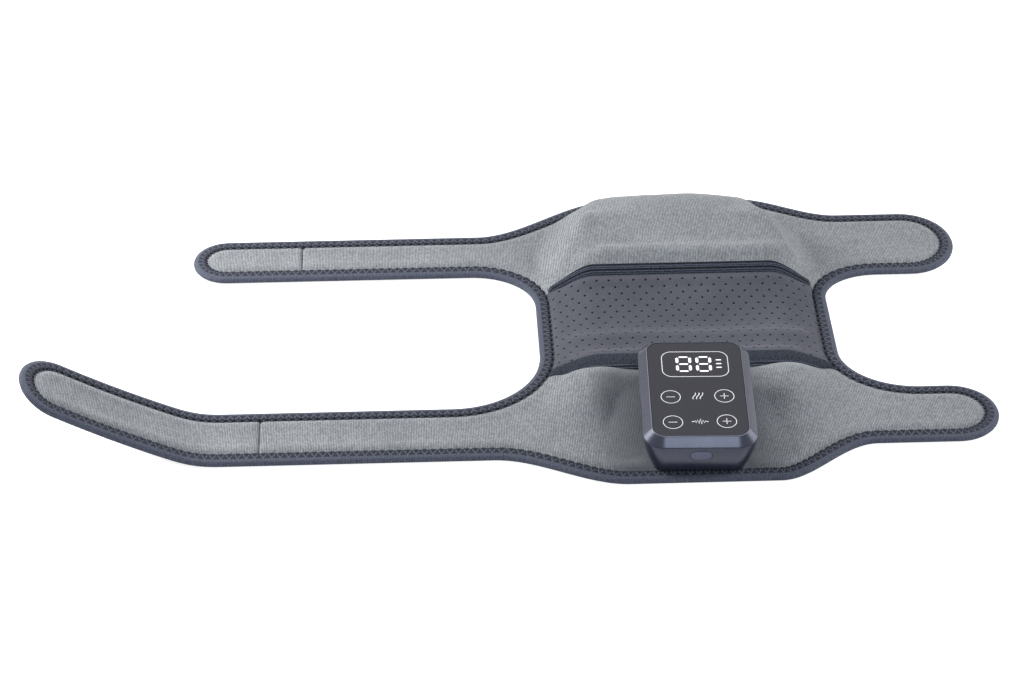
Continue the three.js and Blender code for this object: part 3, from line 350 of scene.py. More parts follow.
def waves(x, y, size):
    """Gentle waves of soft cloth, the same each time."""
    flat = zip(np.ravel(x) / size, np.ravel(y) / size)
    return np.array([noise.noise(Vector((a, b, 3.7))) for a, b in flat]).reshape(np.shape(x))


def curled(points):
    """Bends the end of the near strap up off the table. Points in millimetres, one to a row."""
    run = np.linspace(0, 140, 561)
    slope = math.radians(23.5) * smooth(run, 0, 36) + math.radians(0.085) * np.maximum(run - 30, 0)
    step = run[1] - run[0]
    out, up = running(np.cos(slope[:-1]) * step), running(np.sin(slope[:-1]) * step)
    past = np.maximum(-points[:, 0] - CURL_START, 0)
    lean = np.interp(past, run, slope)
    bent = points.copy()
    on = past > 0
    bent[on, 0] = (-CURL_START - np.interp(past, run, out) + points[:, 2] * np.sin(lean))[on]
    bent[on, 2] = (np.interp(past, run, up) + points[:, 2] * np.cos(lean))[on]
    return bent


def make_mesh(name, points, faces, uv=None, material=None):
    """A smooth mesh from points in millimetres, with a weave map in metres."""
    mesh = bpy.data.meshes.new(name)
    mesh.from_pydata((np.asarray(points) * MM).tolist(), [], faces)
    if uv is not None:
        layer = mesh.uv_layers.new(name="weave")
        corners = np.zeros(len(mesh.loops), np.int32)
        mesh.loops.foreach_get("vertex_index", corners)
        layer.data.foreach_set("uv", (np.asarray(uv)[corners] * MM).astype(np.float32).ravel())
    mesh.polygons.foreach_set("use_smooth", np.ones(len(mesh.polygons), bool))
    mesh.update()
    mesh.set_sharp_from_angle(angle=math.radians(62))
    piece = bpy.data.objects.new(name, mesh)
    bpy.context.scene.collection.objects.link(piece)
    if material is not None:
        mesh.materials.append(material)
    return piece


def grid_faces(rows, columns, start=0, flip=False):
    index = start + np.arange(rows * columns).reshape(rows, columns)
    quads = np.stack([index[:-1, :-1], index[1:, :-1], index[1:, 1:], index[:-1, 1:]], axis=-1).reshape(-1, 4)
    return (quads[:, ::-1] if flip else quads).tolist()


def shell(name, x, y, bottom, top, material, place=None, along=None):
    """A closed layer of cloth over a grid: x grows with the first index, y with the second."""
    rows, columns = x.shape
    upper = np.stack([x, y, top], axis=-1).reshape(-1, 3)
    lower = np.stack([x, y, bottom], axis=-1).reshape(-1, 3)
    points = np.concatenate([upper, lower])
    if place is not None:
        points = place(points)
    size = rows * columns
    faces = grid_faces(rows, columns) + grid_faces(rows, columns, size, flip=True)
    index = np.arange(size).reshape(rows, columns)
    ring = np.concatenate([index[:, 0], index[-1, 1:], index[-2::-1, -1], index[0, -2:0:-1]])
    after = np.roll(ring, -1)
    faces += np.stack([after, ring, ring + size, after + size], axis=-1).tolist()
    step = np.hypot(np.diff(y, axis=1), np.diff(top, axis=1))
    across = y[:, :1] + np.concatenate([np.zeros((rows, 1)), np.cumsum(step, axis=1)], axis=1)
    if along is None:
        along = x
    weave = np.stack([along, across], axis=-1).reshape(-1, 2)
    return make_mesh(name, points, faces, np.concatenate([weave, weave]), material)


class Wing:
    """Where the cloth of one side lies: near is -1 and far is 1."""

    def __init__(self, way, seam, strap, tab, edge):
        self.way, self.seam, self.edge = way, seam, edge
        line = edge["line"] + edge["inwards"] * CLOTH_INSET
        side = line[:, 1] * way > 0
        middle = [way * (s["inner"] + s["outer"]) / 2 for s in (strap, tab)]
        bound = mix(middle[0], middle[1], smooth(line[:, 0], -LEFT_WAIST, RIGHT_WAIST))
        outer = side & (line[:, 1] * way > bound * way)
        self.outer_line, self.inner_line = (part[np.argsort(part[:, 0])] for part in (line[outer], line[side & ~outer]))

    def edges(self, x):
        inner = np.interp(x, self.inner_line[:, 0], np.abs(self.inner_line[:, 1]))
        outer = np.interp(x, self.outer_line[:, 0], np.abs(self.outer_line[:, 1]))
        open_seam = (x > -LEFT_WAIST - 20) & (x < RIGHT_WAIST + 20)
        inner = np.where(open_seam, np.maximum(inner, self.seam + GAP / 2), inner)
        return inner, outer

    def grid(self, places, rows):
        inner, outer = self.edges(places)
        share = np.linspace(0, 1, rows)
        if self.way < 0:
            share = share[::-1]
        y = self.way * mix(inner[:, None], outer[:, None], share[None, :])
        x = np.repeat(places[:, None], rows, axis=1)
        return x, y


def from_edge(edge, x, y):
    """Distance in plan from each point to the outline."""
    line = edge["line"][::2]
    points = np.column_stack([x.ravel(), y.ravel()])
    best = np.full(len(points), 1e9)
    for part in np.array_split(np.arange(len(line)), 24):
        gap = points[:, None, :] - line[None, part, :]
        best = np.minimum(best, np.sqrt((gap ** 2).sum(-1)).min(1))
    return best.reshape(x.shape)


def to_tip(side, start, strap):
    """Places along a strap from its start to its rounded end, closer together towards the end."""
    middle = strap["reach"] - strap["tip"]
    turn = np.linspace(0, math.pi / 2, 22)[1:]
    last = middle + (strap["tip"] - CLOTH_INSET - 0.02) * np.sin(turn)
    return side * np.concatenate([evenly(start, middle, CLOTH_STEP), last])


def under_controller(x, y):
    """1 under the controller's base, falling to 0 just outside it."""
    cosine, sine = math.cos(CONTROLLER_TURN), math.sin(CONTROLLER_TURN)
    across = (x - BASE_PLACE.x) * cosine - (y - BASE_PLACE.y) * sine
    along = (x - BASE_PLACE.x) * sine + (y - BASE_PLACE.y) * cosine
    return (1 - smooth(np.abs(across), 27, 33)) * (1 - smooth(np.abs(along - 47), 42, 49))


def maths(operation):
    """A method that feeds its values to a maths node."""
    def result(value, *others):
        return value.recipe.node("ShaderNodeMath", {"operation": operation}, dict(enumerate((value, *others))))[0]
    return result


class Value:
    """A shader socket that takes part in Python sums."""

    def __init__(self, recipe, socket):
        self.recipe, self.socket = recipe, socket

    def __rsub__(self, other):
        return self.recipe.node("ShaderNodeMath", {"operation": "SUBTRACT"}, {0: other, 1: self})[0]

    __add__ = __radd__ = maths("ADD")
    __mul__ = __rmul__ = maths("MULTIPLY")
    __sub__, __truediv__, __pow__ = maths("SUBTRACT"), maths("DIVIDE"), maths("POWER")
    sine, size, part = maths("SINE"), maths("ABSOLUTE"), maths("FRACT")
    whole, most = maths("FLOOR"), maths("MAXIMUM")


class Recipe:
    """One material, or the studio's world, and the nodes it is made of."""

    def __init__(self, name, owners=None):
        self.owner = (bpy.data.materials if owners is None else owners).new(name)
        self.owner.use_nodes = True
        self.tree = self.owner.node_tree
        self.tree.nodes.clear()

    def node(self, kind, settings=None, inputs=None):
        """Adds a node and returns its outputs. Inputs are values of other nodes, numbers or colours."""
        node = self.tree.nodes.new(kind)
        for name, value in (settings or {}).items():
            setattr(node, name, value)
        for name, value in (inputs or {}).items():
            socket = node.inputs[name]
            if isinstance(value, Value):
                self.tree.links.new(value.socket, socket)
            else:
                socket.default_value = (*value, 1) if socket.type == "RGBA" else value
        return [Value(self, socket) for socket in node.outputs]

    def place(self):
        """Object coordinates in metres."""
        return self.node("ShaderNodeTexCoord")[3]

    def weave(self):
        """The piece's own weave map, in metres: along and across the cloth."""
        uv = self.node("ShaderNodeUVMap", {"uv_map": "weave"})[0]
        return self.across(uv)

    def across(self, vector):
        """The first two parts of a vector."""
        return self.node("ShaderNodeSeparateXYZ", None, {0: vector})[:2]

    def vector(self, x, y):
        return self.node("ShaderNodeCombineXYZ", None, {0: x, 1: y})[0]

    def cloud(self, vector, scale, detail, roughness):
        return self.node("ShaderNodeTexNoise", None, {
            "Vector": vector, "Scale": scale, "Detail": detail, "Roughness": roughness})[0]

    def grain(self, scale, detail, roughness=0.5):
        return self.cloud(self.place(), scale, detail, roughness)

    def tones(self, factor, dark, light):
        return self.node("ShaderNodeMix", {"data_type": "RGBA"}, {0: factor, 6: dark, 7: light})[2]

    def ramp(self, factor, low, high):
        return self.node("ShaderNodeMapRange", {"interpolation_type": "SMOOTHSTEP"}, {0: factor, 1: low, 2: high})[0]

    def bump(self, height, strength, distance):
        return self.node("ShaderNodeBump", None, {"Height": height, "Strength": strength, "Distance": distance})[0]

    def mixed(self, factor, first, second):
        return self.node("ShaderNodeMixShader", None, {0: factor, 1: first, 2: second})[0]

    def seen(self):
        """One for rays from the camera, off a shiny face or through glass, and nought for others."""
        rays = self.node("ShaderNodeLightPath")
        return rays[0].most(rays[3]).most(rays[6])

    def output(self, kind, shader):
        self.node(kind, None, {0: shader})
        return self.owner

    def finish(self, **sockets):
        names = {"color": "Base Color", "specular": "Specular IOR Level", "sheen": "Sheen Weight",
                 "glow": "Emission Color", "glow_strength": "Emission Strength"}
        inputs = {names.get(key, key.replace("_", " ").title()): value for key, value in sockets.items()}
        return self.output("ShaderNodeOutputMaterial", self.node("ShaderNodeBsdfPrincipled", None, inputs)[0])


def wave(value, pitch=1):
    """A sine wave along a value, from -1 to 1."""
    return (value * (2 * math.pi / pitch)).sine()


def ribbed(value, pitch=1):
    """The same wave between nought and one."""
    return wave(value, pitch) * 0.5 + 0.5


def darker(tone, share):
    return tuple(channel * share for channel in tone)


def loop_cloth():
    """Grey loop cloth: fine ribs across the strap, broken into single loops, with a soft nap, and painted shade beside
    and under the controller.
    """
    recipe = Recipe("loop_cloth")
    along, across = recipe.weave()
    drift = recipe.grain(60.0, 2.0)
    pitch, rise = sizes().knit_pitch, 0.0015
    u = (along + (drift - 0.5) * 0.0012) / pitch
    v = across / rise + u.whole() * 0.5
    ribs = ribbed(u)
    loops = ribbed(v)
    single = recipe.node("ShaderNodeTexWhiteNoise", {"noise_dimensions": "2D"}, {
        "Vector": recipe.vector(u.whole(), v.whole())})[0]
    yarn = recipe.cloud(recipe.vector(along * 1500, across * 420), 1.0, 3.0, 0.65)
    fuzz = recipe.grain(2600.0, 3.0, 0.7)
    worn = recipe.grain(26.0, 3.0, 0.6)
    grain = ribs * 0.36 + ribs * loops * 0.30 + single * 0.24 + yarn * 0.5 + fuzz * 0.3
    tone = recipe.ramp(grain + (worn - 0.5) * 0.22, 0.34, 1.36)
    dark = tone_of("loop_dark")
    plain = recipe.tones(tone, dark, tone_of("loop_light"))
    # Painted shade: near and under the controller the cloth's colour is mixed towards a darker tone.
    x, y = recipe.across(recipe.place())
    pressed_folds_and_painted_shade = (1 - recipe.ramp((x + 0.009).size(), 0.034, 0.06)) * (1 - recipe.ramp((y + 0.1).size(), 0.044, 0.08))
    color = recipe.tones(pressed_folds_and_painted_shade * 0.75, plain, darker(dark, 0.9))
    normal = recipe.bump(ribs * 0.5 + ribs * loops * 0.4 + single * 0.2 + yarn * 0.35 + fuzz * 0.3, 0.6, 0.0004)
    return recipe.finish(color=color, roughness=0.95, specular=DULL, normal=normal, sheen=0.2, sheen_roughness=0.5)


def knee_cloth():
    """Smooth dark cloth with rows of small vent holes, painted near black as the shade inside them."""
    recipe = Recipe("knee_cloth")
    along, across = recipe.weave()
    pitch, width = sizes().hole_pitch, sizes().hole_width
    row = (across / (0.62 * pitch)).whole()
    x = ((along / pitch + row * 0.5).part() - 0.5) * pitch
    y = ((across / (0.62 * pitch)).part() - 0.5) * (0.62 * pitch)
    reach = (x * x + y * y) ** 0.5
    hole = 1 - recipe.ramp(reach, 0.42 * width, 0.58 * width)
    fibre = recipe.grain(2200.0, 3.0, 0.65)
    worn = recipe.grain(30.0, 3.0, 0.55)
    knee = tone_of("knee")
    plain = recipe.tones(recipe.ramp(fibre * 0.75 + worn * 0.25, 0.3, 0.7), darker(knee, 0.72), darker(knee, 1.28))
    # Painted shade: each vent hole takes a near-black tone that stands in for the shade inside it.
    color = recipe.tones(hole, plain, darker(knee, 0.03))
    dent = recipe.ramp(reach, 0.3 * width, 0.9 * width)
    normal = recipe.bump(dent + fibre * 0.12, 0.8, 0.0005)
    return recipe.finish(color=color, roughness=0.82, specular=DULL, normal=normal, sheen=0.15, sheen_roughness=0.4)


def binding_cloth():
    """Dark folded tape: fine cross ribs, zigzag thread, painted shade in the hollows of the stitching, and the small
    holes where it bites in, painted near black as their shade.
    """
    recipe = Recipe("binding_cloth")
    along, across = recipe.weave()
    pitch = sizes().stitch_pitch
    turn = (along / pitch).part()
    zig = (turn - 0.5).size() * 4 - 1
    track = (across - (STITCH_MIDDLE * MM + zig * (STITCH_SWING * MM))).size()
    thread = 1 - recipe.ramp(track, 0.0002, 0.0006)
    in_stitching = 1 - recipe.ramp((across - STITCH_MIDDLE * MM).size(), 0.0022, 0.0031)
    # Painted shade: the stitching's hollows beside the thread are darkened.
    stitch_hollow_painted_shade = recipe.ramp(track, 0.0004, 0.0013) * in_stitching
    from_inner = (0.5 - (turn - 0.5).size()) * pitch
    inner = ((from_inner ** 2) * 0.8 + (across - STITCH_HOLE * MM) ** 2) ** 0.5
    hole = 1 - recipe.ramp(inner, 0.0006, 0.0014)
    ribs = ribbed(along, 0.0009)
    heather = recipe.cloud(recipe.vector(along * 650, across * 1500), 1.0, 3.0, 0.7)
    fibre = recipe.grain(1900.0, 3.0, 0.65)
    tone = tone_of("binding")
    mottle = recipe.ramp(ribs * 0.2 + fibre * 0.4 + heather * 0.6, 0.35, 0.85)
    plain = recipe.tones(mottle, darker(tone, 0.5), darker(tone, 1.75))
    stitched = recipe.tones(stitch_hollow_painted_shade * 0.85, plain, darker(tone, 0.22))
    threaded = recipe.tones(thread * 0.5, stitched, darker(tone, 1.5))
    # Painted shade: the needle holes are near black.
    color = recipe.tones(hole, threaded, darker(tone, 0.07))
    twist = wave(along + across, 0.0007) * thread
    normal = recipe.bump(ribs * 0.25 + heather * 0.35 + thread * 0.5 + twist * 0.2, 0.8, 0.0003)
    return recipe.finish(color=color, roughness=0.85, specular=DULL, normal=normal, sheen=0.1, sheen_roughness=0.4)


def tape_cloth(name, groove):
    """Heathered elastic tape with a dark line of painted shade in each groove, at each groove's width, and a pale
    thread beside it.
    """
    recipe = Recipe(name)
    along, across = recipe.weave()
    ribs = ribbed(across, 0.0012)
    cross = ribbed(along, 0.0008)
    heather = recipe.cloud(recipe.vector(along * 700, across * 1100), 1.0, 3.0, 0.7)
    fibre = recipe.cloud(recipe.vector(along * 500, across * 2200), 1.0, 3.0, 0.6)
    tone = tone_of("tape")
    grain = ribs * 0.1 + fibre * 0.4 + cross * 0.1 + heather * 1.1
    yarns = recipe.tones(recipe.ramp(grain, 0.66, 1.04), darker(tone, 0.25), darker(tone, 2.5))
    edge = (((across / groove) + 0.5).part() - 0.5).size() * groove
    thread = 1 - recipe.ramp((edge - 0.0013).size(), 0.0001, 0.0004)
    threaded = recipe.tones(thread * 0.6, yarns, darker(tone, 5.0))
    # Painted shade: a dark line along each groove of the tape.
    color = recipe.tones(1 - recipe.ramp(edge, 0.0003, 0.0007), threaded, darker(tone, 0.2))
    normal = recipe.bump(ribs * 0.3 + cross * 0.25 + heather * 0.4, 0.8, 0.0003)
    return recipe.finish(color=color, roughness=0.9, specular=DULL, normal=normal)


def lining_cloth():
    """Soft brushed cloth on the skin side."""
    recipe = Recipe("lining_cloth")
    along, across = recipe.weave()
    loops = wave(along, 0.0016) * wave(across, 0.0016)
    fibre = recipe.grain(1800.0, 4.0, 0.7)
    worn = recipe.grain(22.0, 3.0, 0.55)
    tone = tone_of("lining")
    color = recipe.tones(recipe.ramp(fibre * 0.6 + worn * 0.4, 0.3, 0.7), darker(tone, 0.75), darker(tone, 1.3))
    normal = recipe.bump(loops * 0.3 + fibre * 0.5, 0.6, 0.0003)
    return recipe.finish(color=color, roughness=0.92, specular=DULL, normal=normal, sheen=0.3, sheen_roughness=0.5)


def hook_cloth():
    """Rows of stiff hooks on a woven back."""
    recipe = Recipe("hook_cloth")
    along, across = recipe.weave()
    x = ((along / 0.0016).part() - 0.5).size()
    y = ((across / 0.0019).part() - 0.5).size()
    hooks = 1 - recipe.ramp(x.most(y), 0.18, 0.34)
    fibre = recipe.grain(1500.0, 3.0, 0.6)
    tone = tone_of("hook")
    color = recipe.tones(hooks * 0.8 + fibre * 0.2, darker(tone, 0.7), darker(tone, 2.2))
    normal = recipe.bump(hooks + fibre * 0.2, 0.9, 0.0006)
    return recipe.finish(color=color, roughness=0.55, specular=DULL, normal=normal)


def case_paint():
    """Satin metallic paint in slate blue."""
    recipe = Recipe("case_paint")
    flake, worn = recipe.grain(9000.0, 1.0), recipe.grain(60.0, 3.0)
    tone = tone_of("case")
    color = recipe.tones(recipe.ramp(flake, 0.35, 0.65), darker(tone, 0.9), darker(tone, 1.12))
    normal = recipe.bump(flake, 0.05, 0.00005)
    return recipe.finish(color=color, roughness=worn * 0.06 + 0.25, specular=0.4, metallic=0.35, normal=normal)


def speckled(name, dark, light, scale, detail, roughness, change=0.0, metallic=0.0, glow=0.0):
    """A finish between two near tones, mixed by fine grain."""
    recipe = Recipe(name)
    grain = recipe.grain(scale, detail)
    color = recipe.tones(grain, dark, light)
    shine = grain * change + roughness if change else roughness
    lit = {"glow": color, "glow_strength": glow} if glow else {}
    return recipe.finish(color=color, roughness=shine, metallic=metallic, **lit)


def face_glass():
    """Dark satin face with a faint grain."""
    recipe = Recipe("face_glass")
    grain = recipe.grain(4200.0, 2.0, 0.6)
    haze = recipe.grain(18.0, 2.0)
    tone = tone_of("face")
    color = recipe.tones(grain * 0.5 + haze * 0.5, darker(tone, 0.9), darker(tone, 1.12))
    return recipe.finish(color=color, roughness=haze * 0.06 + 0.42, specular=0.22)


def plain_finish(name, tone, roughness, metallic=0.0, scale=900.0, depth=0.3, streak=1.0):
    """A finish for the parts inside: slight colour change, grain and bump."""
    recipe = Recipe(name)
    where = recipe.node("ShaderNodeMapping", None, {0: recipe.place(), 3: (1.0, streak, 1.0)})[0]
    grain = recipe.cloud(where, scale, 3.0, 0.6)
    patch = recipe.grain(40.0, 2.0)
    color = recipe.tones(grain * 0.6 + patch * 0.4, darker(tone, 0.78), darker(tone, 1.2))
    normal = recipe.bump(grain, depth, 0.0002)
    return recipe.finish(color=color, roughness=patch * 0.1 + (roughness - 0.05), metallic=metallic, normal=normal)


def stand_for(piece, slot, *nodes):
    """Hides the solids the piece takes the place of; the piece and its kind of material are not used."""
    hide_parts(*nodes)


def cloth_levels(edge, x, y):
    """Under and upper side of a cloth layer that dives under the binding at its edge."""
    gap = from_edge(edge, x, y)
    share = smooth(gap, *RISE)
    free = 1 - under_controller(x, y)
    lip = 0.7 * bell(gap, 13.5, 3.4) * free
    soft = smooth(gap, *FREE) * sizes().softness / MM * mix(0.55, 1, 1 - smooth(np.abs(x), 80, 115)) * free
    dent = (waves(x, y * 1.4, 34.0) * 1.1 + waves(x, y, 15.0) * 0.45) * soft
    pressed_folds_and_painted_shade = folds(x, y) * smooth(gap, 9, 26) * free
    top = mix(HELD_HIGH, cloth_top(x, y) + lip + dent + pressed_folds_and_painted_shade, share)
    bottom = mix(HELD_LOW, mix(LINING + GAP, cloth_top(x, y) - CLOTH, padded(x)), share)
    return bottom, np.maximum(top, bottom + LEAST_CLOTH)


def wing_cloth(wing, name, node, seam_half):
    """Cloth of one wing, puffed beside the seam tape and the binding."""
    x, y = wing.grid(evenly(LEFT_SPLIT, RIGHT_SPLIT, CLOTH_STEP), 78)
    bottom, top = cloth_levels(wing.edge, x, y)
    from_seam = np.abs(y) - wing.seam
    puff = 1.6 * bell(from_seam, seam_half + 7.5, 5.5)
    sunk = 0.56 * (1 - smooth(from_seam, 0.5 * seam_half, seam_half + 3.0))
    top = top + (puff - sunk) * padded(x)
    bottom = np.minimum(bottom, top - LEAST_CLOTH)
    piece = shell(name, x, y, bottom, top, loop_cloth())
    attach(piece, "cover")
    stand_for(piece, "loop_cloth", node)


def follow(piece, bodies, side):
    """Rides on one body; with more than one, its place is only baked into its mesh."""
    if len(bodies) == 1:
        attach(piece, bodies[0])
        return
    fold = STRAP_FOLD if side < 0 else TAB_FOLD
    start, end = ((side * (fold + reach) * MM, 0, 0) for reach in (-BEND_REACH, BEND_REACH))
    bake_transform(piece)


def strap_levels(edge, x, y, seam):
    """Cloth of a strap or tab, drawn down where it meets the end panel."""
    bottom, top = cloth_levels(edge, x, y)
    return bottom, top - 1.1 * bell(np.abs(x), seam, 0.95)


def lining_levels(edge, x, y):
    """Under and upper side of the lining, which lies on the table and rises into the binding."""
    gap = from_edge(edge, x, y)
    share = smooth(gap, *RISE)
    grain = waves(x, y, 22.0) * 0.08 * smooth(gap, 9, 20)
    return mix(LINING_HELD, 0.0, share), mix(LINING_HELD + LINING, LINING + grain, share)


def layer(wing, side, name, places, rows, levels, look, bodies, node, rests_on=(), place=None):
    """A layer of a strap, a tab or a lining, over the wing's own grid."""
    material, slot = look
    x, y = wing.grid(places if places[0] < places[-1] else places[::-1], rows)
    bottom, top = levels(wing.edge, x, y)
    piece = shell(name, x, y, bottom, top, material, place)
    follow(piece, bodies, side)
    stand_for(piece, slot, node)


def knee_grid(step, rows):
    """Grid of the knee's panel, inside the waist bindings and between the seams."""
    places = evenly(-LEFT_WAIST + CLOTH_INSET, RIGHT_WAIST - CLOTH_INSET, step)
    across = np.linspace(-NEAR_SEAM + GAP / 2, FAR_SEAM - GAP / 2, rows)
    return np.meshgrid(places, across, indexing="ij")


def tape_half(tape, x):
    """How far a seam tape reaches from its seam, over the wing and over the knee."""
    narrow = 1 - padded(x)
    return mix(tape[1], tape[2], narrow), mix(tape[0], tape[2], narrow)


def knee_levels(edge, x, y):
    """Under and upper side of the knee's cloth, puffed beside the tapes, with one soft roll across it."""
    gap = from_edge(edge, x, y)
    share = smooth(gap, *RISE)
    lip = 0.5 * bell(gap, 13.5, 3.4)
    into_near = np.abs(y + NEAR_SEAM) - tape_half(NEAR_TAPE, x)[1]
    into_far = np.abs(y - FAR_SEAM) - tape_half(FAR_TAPE, x)[1]
    puff = 0.7 * (bell(into_near, 4, 3) + bell(into_far, 4, 3)) * padded(x)
    free = smooth(gap, *FREE)
    soft = sizes().softness / MM * free * smooth(into_near, 0, 9) * smooth(into_far, 0, 9)
    band = 2.3 * bell(y, -13, 7) * free
    top = cloth_top(x, y) + lip + puff + band + waves(x * 0.8, y, 26.0) * soft * 0.9
    under = np.maximum(cloth_top(x, y) - CLOTH, LINING + GAP)
    bottom = mix(HELD_LOW, mix(LINING + GAP, under, padded(x)), share)
    return bottom, np.maximum(mix(HELD_HIGH, top, share), bottom + LEAST_CLOTH)


def seam_tape(edge, name, seam, way, tape, ridge, bands):
    """Heathered tape over one seam, slightly crowned, its ends diving under the waist bindings."""
    places = evenly(-LEFT_WAIST + CLOTH_INSET, RIGHT_WAIST - CLOTH_INSET, KNEE_STEP)
    share = np.linspace(-1, 1, 27)
    x = np.repeat(places[:, None], len(share), axis=1)
    to_wing, to_knee = tape_half(tape, x)
    low, high = (to_wing, to_knee) if way < 0 else (to_knee, to_wing)
    y = way * seam + np.where(share < 0, low, high) * share
    ends = smooth(from_edge(edge, x, y), 8.0, 12.0)
    crown = 0.55 * (1 - np.abs(share) ** 3)
    ribs = ridge * (1 - 2 * np.abs(np.cos(share * math.pi * bands / 2)) ** 6)
    level = cloth_top(x, y) + GAP
    bottom = mix(HELD_HIGH + 0.05, level, ends)
    top = mix(HELD_HIGH + 0.26, level + 0.7 + crown + ribs, ends)
    piece = shell(f"{name}_tape", x, y, bottom, top, tape_cloth(f"{name}_tape_cloth", sum(tape[:2]) / bands * MM))
    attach(piece, "cover")
    stand_for(piece, "tape_cloth", f"{name}_seam_tape")


def foam(name, node):
    """The foam pad of a wing: its solid, drawn in under the cloth's own shape."""
    mesh = bpy.data.objects[node].data.copy()
    piece = bpy.data.objects.new(name, mesh)
    bpy.context.scene.collection.objects.link(piece)
    form = bmesh.new()
    form.from_mesh(mesh)
    bmesh.ops.remove_doubles(form, verts=form.verts, dist=0.00001)
    x, y, z = np.array([corner.co for corner in form.verts]).T / MM
    limit = cloth_top(x, y) + folds(x, y).clip(max=0) - CLOTH - 0.9
    for corner, level in zip(form.verts, np.minimum(z, np.maximum(limit, 1.4))):
        corner.co.z = level * MM
    form.to_mesh(mesh)
    form.free()
    wear(mesh, plain_finish("foam", (0.62, 0.58, 0.47), 0.95, 0.0, 1400.0))
    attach(piece, "cover")
    stand_for(piece, "foam", node)


def binding_section(turn):
    """Section of the folded tape at one point of its stitching, as distance in and height."""
    swell = math.cos(2 * math.pi * turn)
    edge = FLAP - 0.5 * swell
    depth = sizes().stitch_depth / MM
    zig = abs(turn % 1 - 0.5) * 4 - 1
    track = STITCH_MIDDLE + STITCH_SWING * zig
    points = [(edge, 0.0), (6.0, 0.0), (3.5, 0.0)]
    points += [(2 - 2 * math.cos(a), 2 + 2 * math.sin(a)) for a in FOLD_ANGLES]
    for place in UPPER_PLACES:
        across = place + (edge - FLAP) * smooth(place, 6.4, UPPER_PLACES[-1])
        puff = 0.3 * math.sin(math.pi * min(max((across - 2) / 6.4, 0), 1)) ** 0.7
        tooth = 0.5 * bell(across, 7.2, 1.1) * (0.5 - 0.5 * swell)
        sunk = depth * (bell(across, track, 0.45) * 0.8 + bell(across, STITCH_HOLE, 0.7) * max(zig, 0) ** 2 * 1.3)
        points.append((across, BINDING_TOP + puff + tooth - sunk))
    points += [(edge + 0.1, 3.72), (edge, 3.42), (5.0, 3.4), (1.5, 3.4)]
    return points + [(place, BINDING_WALL) for place in (1.5, 5.0, edge)]


def binding_piece(name, edge, picked, bodies, side, place=None):
    """One length of the folded tape, closed at both ends."""
    pitch = sizes().stitch_pitch / MM
    section = np.array([binding_section(edge["turn"][i]) for i in picked])
    width = section.shape[1]
    line, inwards = edge["line"][picked], edge["inwards"][picked]
    plan = line[:, None, :] + inwards[:, None, :] * section[:, :, :1]
    points = np.concatenate([plan, section[:, :, 1:]], axis=2).reshape(-1, 3)
    if place is not None:
        points = place(points)
    turns = edge["turn"][picked]
    wrapped = np.where(turns < turns[0], turns + edge["turn"][-1] + 1 / 8, turns)
    u = np.repeat(wrapped[:, None] * pitch, width, axis=1)
    weave = np.stack([u, section[:, :, 0]], axis=2).reshape(-1, 2)
    index = np.arange(len(picked) * width).reshape(len(picked), width)
    after = np.roll(index, -1, axis=1)
    quads = np.stack([index[:-1], index[1:], after[1:], after[:-1]], axis=-1).reshape(-1, 4)
    faces = quads.tolist() + [index[0].tolist(), index[-1, ::-1].tolist()]
    piece = make_mesh(f"{name}_tape", points, faces, weave, binding_cloth())
    follow(piece, bodies, side)
    stand_for(piece, "binding_cloth", f"{name}_binding")


def splits(edge):
    """Where the binding's lengths meet, as places in the outline."""
    x, y = edge["line"].T

    def after(start, test):
        return start + int(np.argmax(test[start:]))

    near_left = after(0, x >= LEFT_SPLIT)
    near_right = after(near_left, x >= RIGHT_SPLIT)
    right_near = after(after(near_right, x > RIGHT_INNER_SPLIT + 20), x <= RIGHT_INNER_SPLIT)
    right_far = after(right_near, (x >= RIGHT_INNER_SPLIT) & (y > 0))
    far_right = after(after(right_far, x > RIGHT_INNER_SPLIT + 20), x <= RIGHT_SPLIT)
    far_left = after(far_right, x <= LEFT_SPLIT)
    left_far = after(after(far_left, x < LEFT_INNER_SPLIT - 20), x >= LEFT_INNER_SPLIT)
    left_near = after(left_far, (x <= LEFT_INNER_SPLIT) & (y < 0))
    return near_left, near_right, right_near, right_far, far_right, far_left, left_far, left_near


def make_bindings():
    """Folded tape round every edge, in lengths that meet where the straps and tabs begin to bend."""
    edge = outline()
    total, ends = len(edge["line"]), splits(edge)
    lengths = (("near_edge", 0), ("near_tab", 1), ("right_waist", 0), ("far_tab", 1),
               ("far_edge", 0), ("far_strap", -1), ("left_waist", 0), ("near_strap", -1))
    for (name, side), first, last in zip(lengths, ends, (*ends[1:], total + ends[0])):
        picked = np.arange(first, last + 1) % total
        bodies = ["cover", name] if side else ["cover"]
        binding_piece(name, edge, picked, bodies, side, curled if name == "near_strap" else None)


def wings():
    edge = outline()
    return Wing(-1, NEAR_SEAM, NEAR_STRAP, NEAR_TAB, edge), Wing(1, FAR_SEAM, FAR_STRAP, FAR_TAB, edge)


def straps_and_tabs():
    """The wing, name, plan and bend of each strap, and the wing, name and plan of each tab."""
    near, far = wings()
    straps = ((near, "near_strap", NEAR_STRAP, curled), (far, "far_strap", FAR_STRAP, None))
    return straps, ((near, "near_tab", NEAR_TAB), (far, "far_tab", FAR_TAB))


def make_wings():
    """Loop cloth of both wings, then the foam pads under it."""
    for wing, name, tape in zip(wings(), ("near", "far"), (NEAR_TAPE, FAR_TAPE)):
        wing_cloth(wing, f"{name}_wing_cloth", f"{name}_wing_panel", tape[1])
    for name in ("near", "far"):
        foam(f"{name}_wing_foam", f"{name}_foam_pad")


